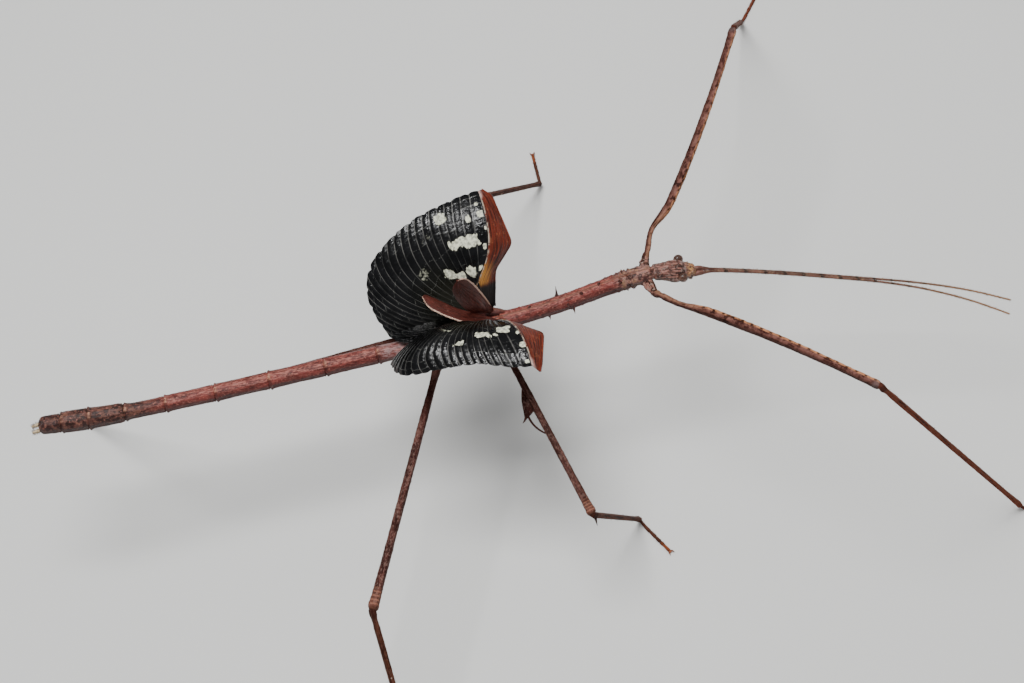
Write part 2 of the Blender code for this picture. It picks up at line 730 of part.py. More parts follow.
def build_tarsus(name, leg, ankle, toe, skin):
    """A foot of five joints, flat underneath where it lies on the floor, with two claws and a pad between."""
    floor = -WING_ROOT_HEIGHT
    share = np.linspace(0, 1, 4 * TARSUS_JOINTS + 1)
    way = unit(toe - ankle)
    start = ankle + way * (leg.tibia_width / 2 + GAP) - (0, 0, 0.25)
    path = start + way * (share * (leg.tarsus - GAP))[:, None]
    settle = np.clip(1 - share / 0.3, 0, 1) ** 2
    path[:, 2] = floor + TARSUS_RADIUS * TARSUS_FLAT + settle * (start[2] - floor - TARSUS_RADIUS * TARSUS_FLAT)
    beat = np.abs(np.sin(np.pi * share * TARSUS_JOINTS)) ** 0.5
    halves = TARSUS_RADIUS * (0.84 + 0.2 * beat)
    halves[-1] *= 0.8
    points, faces = sweep(path, halves, halves, LEG_SIDES)
    points[:, 2] = np.maximum(points[:, 2], floor)
    foot = add_object(name, points, faces, skin)
    aside = np.cross(way, (0, 0, 1))
    pieces = [
        spine(
            f"{name}_claw_{number}",
            path[-1] + aside * turn * 0.12,
            way + aside * turn * 0.6 + (0, 0, 0.15),
            CLAW_LENGTH,
            CLAW_RADIUS,
            skin,
        )
        for number, turn in enumerate((-1, 1))
    ]
    fuse(foot, pieces)
    return foot


def build_leg(name, leg, skin):
    hip, socket, knee, ankle, toe = leg_points(leg)
    build_coxa(name + "_coxa", leg, hip, socket, skin)
    build_femur(name + "_femur", leg, socket, knee, skin)
    build_tibia(name + "_tibia", leg, knee, ankle, skin)
    build_tarsus(name + "_tarsus", leg, ankle, toe, skin)


def stand_on_floor():
    """Moves the insect so that its feet are at zero and its box is centred over the origin."""
    made = list(bpy.context.scene.collection.objects)
    corners = []
    for piece in made:
        places = np.empty(len(piece.data.vertices) * 3, np.float32)
        piece.data.vertices.foreach_get("co", places)
        corners.append(places.reshape(-1, 3))
    corners = np.concatenate(corners)
    low, high = corners.min(axis=0), corners.max(axis=0)
    shift = np.array([-(low[0] + high[0]) / 2, -(low[1] + high[1]) / 2, WING_ROOT_HEIGHT * MM])
    for piece in made:
        places = np.empty(len(piece.data.vertices) * 3, np.float32)
        piece.data.vertices.foreach_get("co", places)
        moved = places.reshape(-1, 3) + shift
        moved[:, 2] = np.where(moved[:, 2] < 1e-6, 0.0, moved[:, 2])
        piece.data.vertices.foreach_set("co", moved.astype(np.float32).ravel())
        piece.data.update()


def main():
    for old in list(bpy.data.objects):
        bpy.data.objects.remove(old)
    skin = material("body_brown", BROWN, 0.6)
    head_skin = material("head_brown", HEAD_BROWN, 0.65)
    leg_skin = material("leg_brown", LEG_BROWN, 0.6)
    black = material("wing_black", WING_BLACK, 0.25)
    red = material("remigium_red", REMIGIUM_RED, 0.45)
    tegmen_red = material("tegmen_red", TEGMEN_RED, 0.5)
    cream = material("cercus_cream", CERCUS_CREAM, 0.5)

    build_body(skin)
    build_head(head_skin)
    build_cerci(cream)
    build_antenna("antenna_left", 1, head_skin)
    build_antenna("antenna_right", -1, head_skin)
    for label, side in (("left", 1), ("right", -1)):
        build_hindwing("hindwing_" + label, FANS[label], side, black)
        build_remigium("remigium_" + label, FANS[label], side, red)
    for name, wing in TEGMINA.items():
        build_tegmen(name, wing, tegmen_red)
    for name, leg in LEGS.items():
        build_leg(name, leg, leg_skin)
    stand_on_floor()


main()
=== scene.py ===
"""Dresses the gorgon stick insect: chitin, eyes, wings, feelers, bristles, a pale floor and soft light.

Sizes inside the functions are in millimetres. X runs towards the head, Y to the insect's left and Z up.
Every piece is worked out in the wing root's own axes and moved to the frame's as its mesh is made.
"""

import math
from functools import partial

import bpy
import numpy as np
from bpy.props import FloatProperty, FloatVectorProperty, IntProperty, PointerProperty
from mathutils import Matrix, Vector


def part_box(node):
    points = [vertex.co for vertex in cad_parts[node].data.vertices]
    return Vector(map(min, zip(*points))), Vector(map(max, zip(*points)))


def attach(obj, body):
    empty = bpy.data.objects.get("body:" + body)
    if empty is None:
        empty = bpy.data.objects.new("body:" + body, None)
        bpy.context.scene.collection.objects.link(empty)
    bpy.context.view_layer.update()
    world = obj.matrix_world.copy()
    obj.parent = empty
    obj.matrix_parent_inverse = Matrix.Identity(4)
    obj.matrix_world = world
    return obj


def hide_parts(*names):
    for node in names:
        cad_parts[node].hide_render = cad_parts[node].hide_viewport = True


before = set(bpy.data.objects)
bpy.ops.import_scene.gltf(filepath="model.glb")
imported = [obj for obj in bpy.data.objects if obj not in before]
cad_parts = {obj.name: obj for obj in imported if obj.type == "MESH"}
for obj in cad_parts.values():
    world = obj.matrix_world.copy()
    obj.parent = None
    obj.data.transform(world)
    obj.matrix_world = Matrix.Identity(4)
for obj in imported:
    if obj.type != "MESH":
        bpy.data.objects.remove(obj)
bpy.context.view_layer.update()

bl_info = {
    "name": "Gorgon Stick Insect",
    "version": (1, 0, 0),
    "blender": (4, 5, 0),
    "location": "View3D > Sidebar > Insect",
    "description": "Adds the insect's skin, wings, feelers, bristles and finishes to its solid model",
    "category": "Add Mesh",
}

MM = 0.001
FLOOR = -31.0

# The body's line, from the face to the last segment.
NECK_X = 23.7
HEAD_LENGTH = 6.8
AXIS_X = (30.6, 28.0, 26.6, 25.1, 23.8, 20.2, 14.9, 9.6, 1.0, -7.0, -13.0, -26.5, -43.3, -57.0, -66.4, -70.0)
AXIS_Z = (0.5, 1.3, 1.87, 2.36, 2.6, 2.4, 1.25, 0.1, -0.86, -1.7, -2.0, -2.0, -1.9, -1.4, -0.2, 0.4)
# Its segments, from the neck back: length, then front, middle and rear width.
SEGMENTS = (
    (3.4, 2.5, 2.7, 3.0),
    (19.7, 3.0, 2.6, 3.0),
    (8.1, 2.9, 2.7, 2.8),
    (3.1, 2.8, 2.7, 2.8),
    (7.9, 2.8, 2.6, 2.8),
    (8.0, 2.8, 2.65, 2.85),
    (8.6, 2.85, 2.65, 2.8),
    (8.2, 2.8, 2.6, 2.75),
    (7.6, 2.75, 2.5, 2.65),
    (6.1, 2.6, 2.4, 2.7),
    (5.4, 2.75, 3.1, 3.45),
    (4.0, 3.45, 3.3, 3.0),
    (3.0, 3.0, 2.8, 2.5),
)
BODY_NODES = ("prothorax", "mesothorax", "metathorax") + tuple(f"abdomen_{n}" for n in range(1, 11))
# The thorax's spines: distance ahead of the wing root, degrees to the left of the back, and length.
THORAX_SPINES = (
    (9.4, 56.0, 1.5),
    (15.9, 4.0, 0.45),
    (13.1, -16.0, 0.5),
    (10.9, -60.0, 0.6),
    (11.5, -96.0, 0.55),
    (11.4, -115.0, 0.9),
    (7.7, -118.0, 0.6),
    (11.4, 115.0, 0.9),
    (7.7, 118.0, 0.6),
    (19.4, 30.0, 0.4),
    (19.0, -36.0, 0.45),
    (5.2, 12.0, 0.35),
)
# The shoulders under the forewings: distance ahead of the wing root, outwards and up from the body's line.
SHOULDER = ((1.6, 0.6, 0.75), (0.2, 1.0, 1.1), (-1.2, 1.35, 1.25), (-2.6, 1.0, 0.8))
SHOULDER_RADII = (0.45, 0.72, 0.68, 0.4)

# Head
HEAD_SHARES = (0.0, 0.04, 0.12, 0.2, 0.3, 0.41, 0.52, 0.63, 0.74, 0.85, 0.95, 1.0)
HEAD_HALVES = (1.0, 1.18, 1.27, 1.3, 1.42, 1.58, 1.66, 1.56, 1.28, 1.05, 0.86, 0.72)
# Brows, two pairs of knobs before them, and cheeks: height, turn from the top, width, share and length.
HEAD_KNOBS = (
    (0.2, 0.42, 0.18, 0.74, 0.04),
    (0.19, 0.5, 0.22, 0.91, 0.032),
    (0.14, 0.95, 0.2, 0.83, 0.032),
    (0.06, 1.9, 0.3, 0.42, 0.2),
)
# The mouthparts: places from the chin (ahead, outwards, up) and radii. Each of the jaws and palps has its
# points round and its mark as well.
CHIN_X = 29.6
LIP = ((-0.1, 0, -0.35), (0.35, 0, -0.75), (0.4, 0, -1.25))
LIP_RADII = (0.5, 0.52, 0.3)
JAWS_AND_PALPS = (
    (((-0.5, 0.45, -0.5), (-0.15, 0.4, -0.95), (0.05, 0.16, -1.2)), (0.34, 0.32, 0.15), 14, 0.0),
    (
        ((-0.6, 0.6, -0.8), (-0.4, 0.5, -1.3), (-0.1, 0.42, -1.5), (0.05, 0.3, -1.6)),
        (0.15, 0.13, 0.12, 0.08),
        10,
        0.5,
    ),
    (((-0.8, 0.25, -0.9), (-0.55, 0.35, -1.35), (-0.1, 0.36, -1.55)), (0.12, 0.11, 0.07), 10, 0.5),
)
EYE_X = 28.1
EYE_SIDE = 1.66
EYE_RISE = 0.68
EYE_RADIUS = 0.7
FEELER_REACH = {1: 45.0, -1: 44.1}
# How far each feeler turns aside near its tip.
FEELER_PART = {1: -0.65, -1: -2.75}

# Wings
WING_ROOT_X = -0.8
WING_ROOT_SIDE = 1.72
WING_ROOT_RISE = 1.3
WING_SKEW = 0.07
WING_FIRST_RAY = -14.0
WING_SIDE_RAY = 92.0
WING_FULL_SPREAD = 123.0
# How much closer the veins stand beside the abdomen than in front.
WING_CROWDING = 0.35
# How far the veins bow to the rear between the root and the margin.
VEIN_BEND = 2.2
VEIN_PULL = 0.85
# Columns of points between two veins.
VEIN_COLUMNS = 11
# The cross veins' reach: those that run right across, and those that differ from panel to panel.
CROSS_VEINS = (0.3, 0.47, 0.62, 0.76, 0.885, 0.955)
SHORT_CROSS_VEINS = (0.4, 0.54, 0.69, 0.83)
WING_ROOT_ARC = 0.5
WING_FRONT_BULGE = 1.2
# Each side's fan, spread as a dome: its rays in degrees behind straight out, their reach over the floor, the
# rise of the first ray's end, how slowly that falls off, the bends of the first and last ray, and the dent
# near the root.
FANS = {
    1: (
        (-14.0, 12.0, 36.0, 51.0, 63.0, 75.0, 88.0, 99.0, 109.0),
        (13.6, 12.5, 13.6, 15.1, 16.5, 16.8, 15.4, 13.3, 8.5),
        11.0,
        2.6,
        (43.2, 16.0),
        1.9,
    ),
    -1: ((-14.0, 20.0, 45.0, 65.0, 76.7), (13.1, 11.0, 12.75, 16.4, 16.0), 9.0, 2.5, (54.9, 67.9), 0.65),
}
# Each side's leading edge: its root, a hollow, a corner and the two ends of its tip.
LEADING_EDGES = {
    1: ((1.0, 0.5, 0.0), (2.5, 4.3, 4.0), (5.95, 6.66, 6.2), (5.1, 13.3, 9.7), (4.0, 14.6, 9.75)),
    -1: ((1.0, 0.5, 0.0), (3.15, 3.4, 5.0), (6.4, 6.7, 6.0), (4.7, 12.4, 7.7), (4.1, 13.9, 8.0)),
}
# Their shares of the edge's length, and how far the plate bulges between the fan and the edge.
LEADING_MARKS = (0.0, 0.33, 0.5, 0.9, 1.0)
PLATE_CROWN = {1: 0.35, -1: 0.15}
# The cream patches on each fan: share of the way round from its front ray, reach, half sizes and strength.
CREAM_PATCHES = {
    1: (
        (0.138, 0.625, 0.072, 0.048, 1.0),
        (0.28, 0.64, 0.084, 0.044, 1.0),
        (0.271, 0.383, 0.112, 0.043, 1.0),
        (0.442, 0.383, 0.071, 0.038, 0.9),
        (0.537, 0.432, 0.057, 0.045, 1.0),
        (0.05, 0.383, 0.04, 0.018, 1.0),
        (0.646, 0.591, 0.042, 0.049, 0.45),
        (0.271, 0.889, 0.041, 0.044, 0.8),
        (0.108, 0.785, 0.015, 0.038, 0.9),
        (0.033, 0.882, 0.014, 0.018, 0.9),
        (0.025, 0.785, 0.017, 0.028, 1.0),
        (0.01, 0.674, 0.008, 0.018, 1.0),
        (0.025, 0.529, 0.014, 0.024, 1.0),
        (0.458, 0.792, 0.022, 0.028, 0.4),
        (0.4, 0.799, 0.022, 0.026, 0.4),
    ),
    -1: (
        (0.354, 0.7, 0.13, 0.032, 1.0),
        (0.112, 0.62, 0.062, 0.042, 1.0),
        (0.006, 0.674, 0.022, 0.025, 1.0),
        (0.01, 0.806, 0.024, 0.027, 1.0),
        (0.025, 0.958, 0.017, 0.018, 0.9),
        (0.596, 0.764, 0.041, 0.029, 0.9),
        (0.879, 0.55, 0.065, 0.012, 0.5),
    ),
}
PATCH_SPREAD = {1: 113.0, -1: 90.7}
# Each forewing: root, length, heading, rise, the direction of its breadth, and its width each way of its
# middle line, at TEGMEN_MARKS.
TEGMINA = {
    "tegmen_left": (
        (-0.5, 1.0, 1.95),
        11.7,
        191.0,
        71.0,
        (0.85, 0.35, 0.37),
        (0.3, 0.62, 0.9, 1.1, 1.17, 0.95, 0.5, 0.02),
        (0.4, 1.8, 2.32, 2.33, 2.05, 1.45, 0.7, 0.02),
    ),
    "tegmen_right": (
        (0.1, -1.3, 1.95),
        12.0,
        159.2,
        26.8,
        (0.23, 0.92, -0.23),
        (0.6, 0.6, 0.48, 0.32, 0.68, 0.9, 0.78, 0.25),
        (0.3, 0.66, 1.87, 2.03, 1.78, 1.25, 0.4, -0.2),
    ),
}
TEGMEN_MARKS = (0.0, 0.15, 0.35, 0.55, 0.75, 0.9, 0.97, 1.0)

# Each leg: hip, drop of the hip, side, femur, its heading and rise, tibia, its heading, tarsus, its heading.
LEGS = {
    "foreleg_left": (23.0, 0.5, 1, 41.5, 57.5, 5.7, 46.0, 78.0, 7.5, 53.6),
    "foreleg_right": (23.0, 0.5, -1, 40.5, -48.1, 13.2, 46.0, -6.8, 7.5, -35.0),
    "midleg_left": (-0.7, 0.9, 1, 29.6, 83.7, -20.0, 23.5, 52.2, 6.5, 90.2),
    "midleg_right": (-0.3, 0.9, -1, 29.4, -75.5, -13.3, 23.9, 50.8, 7.0, -61.6),
    "hindleg_left": (-7.4, 1.3, 1, 41.0, 181.8, -1.6, 36.0, 138.0, 6.5, 173.3),
    "hindleg_right": (-9.6, 0.8, -1, 41.0, -114.2, -1.3, 36.0, -88.0, 6.5, -80.0),
}
FEMUR_MARKS = (0.0, 0.13, 0.21, 0.5, 0.85, 0.95)
FEMUR_WIDTHS = {
    "foreleg": (1.05, 0.8, 1.2, 1.25, 1.1, 1.15),
    "midleg": (1.0, 1.0, 1.05, 1.1, 1.2, 1.4),
    "hindleg": (1.0, 1.05, 1.15, 1.2, 1.3, 1.45),
}
TIBIA_WIDTH = {"foreleg": 0.85, "midleg": 0.82, "hindleg": 0.85}
SHIN_BRISTLES = {"foreleg": 500, "midleg": 220, "hindleg": 420}
FORE_BOW = 0.75
# How far the slim root of a fore thigh stands behind its bow.
FORE_DIP = {"foreleg_left": 0.95, "foreleg_right": 0.45}
ANKLE_HEIGHT = 0.95
HIP_GAP = 0.3
COXA_LENGTH = 1.5
# The height of a foot's middle over the floor, and its joints' shares of its length.
FOOT_RISE = 0.19
FOOT_JOINTS = (0.0, 0.34, 0.53, 0.68, 0.79, 1.0)
# The spike and the curled strand of a lobe: shares of the thigh and reach behind it, radii, points round
# and duskiness.
LOBE_STRANDS = (
    (((0.395, 1.9), (0.412, 2.35), (0.42, 2.8)), (0.17, 0.15, 0.03), 8, 0.3),
    (
        ((0.37, 1.35), (0.41, 1.6), (0.455, 1.45), (0.49, 1.05), (0.52, 0.5)),
        (0.16, 0.17, 0.16, 0.15, 0.12),
        10,
        1.0,
    ),
)

# Stage
FLOOR_HALF = 3.0
# Each softbox: place and size in metres, the setting of its power, its share, and what it doesn't light.
SOFTBOXES = (
    ("key", (-0.06, 0.02, 0.56), 0.24, "key", 1.0, "visible_glossy"),
    ("gloss", (-0.06, 0.07, 0.56), 0.11, "gloss", 1.0, "visible_diffuse"),
    ("front", (0.06, -0.36, 0.5), 0.3, "fill", 1.0, "visible_glossy"),
    ("wide", (0.3, 0.35, 0.6), 0.9, "fill", 2.0, "visible_glossy"),
)
ROOM_COLOUR = (0.93, 0.96, 1.0, 1.0)
ROOM_STRENGTH = 0.18
# The camera's lens and sensor width, and the nearest and farthest that it sees, in metres.
CAMERA_LENS = (100.0, 36.0)
CAMERA_CLIP = (0.01, 20.0)
CAMERA_TILT = 58.0
CAMERA_ROLL = 13.3
CAMERA_DISTANCE = 421.4
CAMERA_AIM = (1.4, -3.75)


def frame_origin():
    """The wing root's place in the frame, in millimetres: the eyes' middle less their own place."""
    left, right = (np.array(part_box(name)).mean(axis=0) / MM for name in ("eye_left", "eye_right"))
    middle = (left + right) / 2
    return np.array([middle[0] - EYE_X, middle[1], -FLOOR])


ORIGIN = frame_origin()


# Sizes and colours that a user may change


def colour_setting(name, description, *default):
    """A colour, each part between 0 and 1."""
    return FloatVectorProperty(
        name=name, description=description, default=default, size=3, subtype="COLOR", min=0, max=1
    )


def length_setting(name, description, default, most, least=0.0):
    """A length in metres."""
    return FloatProperty(
        name=name, description=description, default=default, min=least, max=most, unit="LENGTH"
    )


def power_setting(name, description, default):
    """The power of a light in watts."""
    return FloatProperty(name=name, description=description, default=default, min=0.0, unit="POWER")


def count_setting(name, description, default, least, most):
    """A whole number."""
    return IntProperty(name=name, description=description, default=default, min=least, max=most)


class BodySettings(bpy.types.PropertyGroup):
    """Sizes and colours of the body and head."""

    groove: length_setting("Joint groove", "Depth of the groove between two segments", 0.00015, 0.0004)
    granules: length_setting("Granules", "Height of the grains on the thorax", 0.00008, 0.0003)
    sides: count_setting("Sides", "Points round the body", 88, 24, 128)
    brown: colour_setting("Body", "Reddish brown of the body", 0.145, 0.026, 0.021)
    pale: colour_setting("Streaks", "Pale pink of the streaks", 0.42, 0.155, 0.12)
    dark: colour_setting("Mottling", "Dark brown of the mottling", 0.035, 0.012, 0.011)
    head: colour_setting("Head", "Brown of the head", 0.145, 0.058, 0.046)
    gold: colour_setting("Gold", "Golden spots on the face", 0.62, 0.36, 0.12)
    eye: colour_setting("Eye", "Grey brown of the eyes", 0.14, 0.07, 0.05)


class WingSettings(bpy.types.PropertyGroup):
    """Sizes and colours of the wings."""

    veins: count_setting("Veins", "Veins in the wider fan", 28, 8, 40)
    pleat: length_setting("Pleat", "Height of a panel between two veins, at the margin", 0.00014, 0.001)
    thickness: length_setting("Thickness", "Thickness of the membrane", 0.00014, 0.0005, 0.00005)
    black: colour_setting("Membrane", "Black of the fan", 0.0026, 0.0026, 0.003)
    cream: colour_setting("Patches", "Cream of the patches", 0.76, 0.76, 0.58)
    red: colour_setting("Front plate", "Red brown of the front plate", 0.15, 0.021, 0.008)
    forewing: colour_setting("Forewing", "Dark red brown of the forewings", 0.062, 0.0125, 0.008)


class LimbSettings(bpy.types.PropertyGroup):
    """Sizes and colours of the legs, feelers and bristles."""

    sides: count_setting("Sides", "Points round a leg", 28, 12, 48)
    feeler: length_setting("Feeler width", "Thickness of a feeler near its root", 0.00042, 0.0008, 0.0002)
    bristle: length_setting("Bristle length", "Length of the bristles on the legs", 0.00032, 0.001)
    brown: colour_setting("Legs", "Brown of the legs", 0.17, 0.062, 0.05)
    tan: colour_setting("Fore edge", "Orange tan along the fore thighs", 0.52, 0.225, 0.11)
    shin: colour_setting("Shins", "Red brown of the fore shins", 0.19, 0.05, 0.026)
    feeler_brown: colour_setting("Feelers", "Brown of the feelers", 0.15, 0.062, 0.045)


class StageSettings(bpy.types.PropertyGroup):
    """The floor and the light."""

    floor: colour_setting("Floor", "Pale grey of the floor", 0.78, 0.78, 0.76)
    key: power_setting("Key light", "Power of the main softbox", 3.4)
    gloss: power_setting("Highlights", "Power of the small softbox that only gleams", 1.6)
    fill: power_setting("Fill light", "Power of the wide fill light", 0.5)


# Curves and noise


def through(xs, ys, x):
    """Cubic Hermite curve through the points: y = y0(1+2t)(1-t)^2 + m0 t(1-t)^2 + y1 t^2(3-2t) + m1 t^2(t-1).

    The slope at each point is the mean of its two sides' slopes.
    """
    xs = np.asarray(xs, float)
    ys = np.asarray(ys, float)
    if xs[0] > xs[-1]:
        xs, ys = xs[::-1], ys[::-1]
    runs = np.diff(xs)
    grades = np.diff(ys) / runs
    slopes = np.concatenate([grades[:1], (grades[1:] + grades[:-1]) / 2, grades[-1:]])
    x = np.clip(x, xs[0], xs[-1])
    i = np.clip(np.searchsorted(xs, x) - 1, 0, len(runs) - 1)
    t = (x - xs[i]) / runs[i]
    start = ys[i] * (1 + 2 * t) * (1 - t) ** 2 + slopes[i] * runs[i] * t * (1 - t) ** 2
    return start + ys[i + 1] * t**2 * (3 - 2 * t) + slopes[i + 1] * runs[i] * t**2 * (t - 1)


def ease(x, low, high):
    """Smooth step: 3t^2 - 2t^3, with t running from 0 at low to 1 at high."""
    t = np.clip((np.asarray(x, float) - low) / (high - low), 0, 1)
    return t * t * (3 - 2 * t)


def bell(x, middle, width):
    """Bell curve exp(-((x - middle) / width)^2)."""
    return np.exp(-(((np.asarray(x, float) - middle) / width) ** 2))


def twins(x, middle, width):
    """The sum of two bell curves, at the middle and at its mirror image."""
    return bell(x, middle, width) + bell(x, -middle, width)


def rounded(x, start, run, least, power=2):
    """A closing end: sqrt(1 - ((x - start) / run)^power), 1 before start and never under sqrt(least)."""
    return np.sqrt(np.clip(1 - np.clip((x - start) / run, 0, 1) ** power, least, 1))


def unit(vector):
    """Vectors divided by their lengths."""
    vector = np.asarray(vector, float)
    return vector / np.linalg.norm(vector, axis=-1, keepdims=True)


def direction(heading, rise):
    """Unit vector (cos h cos r, sin h cos r, sin r), with both angles in degrees."""
    h, r = math.radians(heading), math.radians(rise)
    return np.array([math.cos(h) * math.cos(r), math.sin(h) * math.cos(r), math.sin(r)])


def circle(sides):
    """Angles round a tube, from 0 at its top."""
    return np.arange(sides) * 2 * np.pi / sides


def either_way(angle):
    """The angle brought between -pi and pi, so that it grows both ways from the top."""
    return np.angle(np.exp(1j * angle))


def triple(first, second, third):
    """Three values for each point of a grid, spread over it where they are the same along it."""
    return np.stack(np.broadcast_arrays(first, second, third), axis=-1)


def grain(points, size, seed=0):
    """Value noise from -1 to 1: hashed numbers on a lattice, blended by 3t^2 - 2t^3 along each axis."""
    where = np.asarray(points, float) / size
    cell = np.floor(where).astype(np.int64)
    t = where - cell
    t = t * t * (3 - 2 * t)
    total = np.zeros(where.shape[:-1])
    for corner in np.ndindex(2, 2, 2):
        x, y, z = np.moveaxis(cell + corner, -1, 0)
        mixed = x * 73856093 ^ y * 19349663 ^ z * 83492791 ^ (seed + 1) * 26544357
        mixed = (mixed ^ (mixed >> 13)) * 1274126177 & 0x7FFFFFFF
        value = (mixed >> 8 & 0xFFFF) / 32767.5 - 1
        total += value * np.prod(np.where(np.array(corner, bool), t, 1 - t), axis=-1)
    return total


def layers(points, size, seed=0, count=3):
    """Sum of value noises, each of half the size and half the height of the one before."""
    return sum(grain(points, size / 2**n, seed + n) / 2**n for n in range(count))


# Meshes


def facing(grid):
    """Unit normals of a grid: the cross product of its steps along rows and columns."""
    return unit(np.cross(np.gradient(grid, axis=0), np.gradient(grid, axis=1)))


def facing_up(grid):
    """Unit normals of a grid, each turned to the side where Z is above zero."""
    normals = facing(grid)
    return normals * np.where(normals[..., 2:] < 0, -1.0, 1.0)


class Shape:
    """Collects closed surfaces, in millimetres from the wing root, and makes one mesh of them.

    Each point carries a lie (its place in the surface's own terms) and a mark (strengths for the finish).
    """

    def __init__(self):
        self.points, self.lies, self.marks, self.maps = [], [], [], []
        self.quads, self.triangles = [], []
        self.count = 0

    def add(self, points, lies, marks, quads, triangles, places=None):
        """Adds a closed surface, faced so that its signed volume, the sum of a.(b x c) / 6, is above 0."""
        quads = np.asarray(quads, np.int64).reshape(-1, 4)
        triangles = np.asarray(triangles, np.int64).reshape(-1, 3)
        corners = np.concatenate([triangles, quads[:, [0, 1, 2]], quads[:, [0, 2, 3]]])
        a, b, c = (points - points.mean(axis=0))[corners].transpose(1, 0, 2)
        if np.einsum("ij,ij->", a, np.cross(b, c)) < 0:
            quads, triangles = quads[:, ::-1], triangles[:, ::-1]
        self.points.append(points)
        self.lies.append(lies)
        self.marks.append(marks)
        self.quads.append(quads + self.count)
        self.triangles.append(triangles + self.count)
        self.maps.append(np.zeros((len(points), 2)) if places is None else places)
        self.count += len(points)

    def rings(self, grid, lies, marks):
        """Closed tube from rings of points (stations by sides by 3), each end closed round its middle."""
        stations, sides = grid.shape[:2]
        index = np.arange(stations * sides).reshape(stations, sides)
        beside = np.roll(index, -1, axis=1)
        quads = np.stack([index[:-1], beside[:-1], beside[1:], index[1:]], axis=-1)
        first, last = stations * sides, stations * sides + 1
        triangles = np.concatenate([triple(beside[0], index[0], first), triple(index[-1], beside[-1], last)])
        layers_of = [np.broadcast_to(layer, grid.shape) for layer in (grid, lies, marks)]
        ends = [np.stack([layer[0].mean(axis=0), layer[-1].mean(axis=0)]) for layer in layers_of]
        whole = [np.concatenate([layer.reshape(-1, 3), end]) for layer, end in zip(layers_of, ends)]
        self.add(*whole, quads, triangles)

    def tube(self, grid, along, marks=(0.0, 0.0, 0.0), turn=0.0):
        """Rings with the lie (sin a, cos a, distance), which has no seam where the angle comes round."""
        angle = circle(grid.shape[1]) - turn
        self.rings(grid, triple(np.sin(angle), np.cos(angle), along[:, None]), triple(*marks))

    def sheet(self, middle, thickness, lies, marks):
        """Closed plate: the grid moved half the thickness along its normals each way, joined at the rim."""
        rows, columns = middle.shape[:2]
        half = facing(middle) * thickness[..., None] / 2
        points = np.concatenate([(middle + half).reshape(-1, 3), (middle - half).reshape(-1, 3)])
        index = np.arange(rows * columns).reshape(rows, columns)
        top = np.stack([index[:-1, :-1], index[:-1, 1:], index[1:, 1:], index[1:, :-1]], axis=-1)
        top = top.reshape(-1, 4)
        edge = np.concatenate([index[0, :], index[1:, -1], index[-1, -2::-1], index[-2:0:-1, 0]])
        after = np.roll(edge, -1)
        below = rows * columns
        rim = np.stack([edge, edge + below, after + below, after], axis=-1)
        quads = np.concatenate([top, top[:, ::-1] + below, rim])
        lies, marks = (np.broadcast_to(layer, middle.shape).reshape(-1, 3) for layer in (lies, marks))
        self.add(points, np.tile(lies, (2, 1)), np.tile(marks, (2, 1)), quads, [])

    def bristles(self, roots, leans, lengths, radius, pale, places):
        """Fine cones of three sides, all at once: a ring of three points at the root, and the tip."""
        leans = unit(leans)
        beside = unit(np.cross(leans, leans[:, [1, 2, 0]] + 0.1))
        over = np.cross(leans, beside)
        turn = circle(3)[None, :, None]
        ring = beside[:, None] * np.cos(turn) + over[:, None] * np.sin(turn)
        base = (roots - leans * lengths[:, None] * 0.15)[:, None] + ring * radius.reshape(-1, 1, 1)
        points = np.concatenate([base, (roots + leans * lengths[:, None])[:, None]], axis=1).reshape(-1, 3)
        start = np.arange(len(roots))[:, None, None] * 4
        triangles = start + np.array([[0, 1, 3], [1, 2, 3], [2, 0, 3], [0, 2, 1]])
        flat = places[:, None] + np.array([[0.0, 0.0], [0.003, 0.0], [0.0015, 0.003], [0.0015, 0.0015]])
        marks = np.broadcast_to((pale, 0.0, 0.0), points.shape)
        self.add(points, marks * 0, marks, [], triangles, flat.reshape(-1, 2))

    def piece(self, name, finish, slot, replaces=(), bake_map=False):
        """Makes the mesh object, rides it on the root body and hides the nodes it stands for."""
        points = (np.concatenate(self.points) + ORIGIN) * MM
        quads = np.concatenate(self.quads)
        triangles = np.concatenate(self.triangles)
        corners = np.concatenate([quads.ravel(), triangles.ravel()])
        sizes = np.concatenate([np.full(len(quads), 4), np.full(len(triangles), 3)])
        mesh = bpy.data.meshes.new(name)
        mesh.vertices.add(len(points))
        mesh.vertices.foreach_set("co", points.astype(np.float32).ravel())
        mesh.loops.add(len(corners))
        mesh.loops.foreach_set("vertex_index", corners.astype(np.int32))
        mesh.polygons.add(len(sizes))
        mesh.polygons.foreach_set("loop_start", (np.cumsum(sizes) - sizes).astype(np.int32))
        mesh.polygons.foreach_set("use_smooth", np.ones(len(sizes), bool))
        mesh.update(calc_edges=True)
        for label, layer in (("lie", self.lies), ("mark", self.marks)):
            attribute = mesh.attributes.new(label, "FLOAT_VECTOR", "POINT")
            attribute.data.foreach_set("vector", np.concatenate(layer).astype(np.float32).ravel())
        if bake_map:
            flat = np.concatenate(self.maps)[corners]
            mesh.uv_layers.new(name="OFBake").data.foreach_set("uv", flat.astype(np.float32).ravel())
        mesh.materials.append(finish)
        made = bpy.data.objects.new(name, mesh)
        bpy.context.scene.collection.objects.link(made)
        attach(made, "root")
        if replaces:
            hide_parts(*replaces)


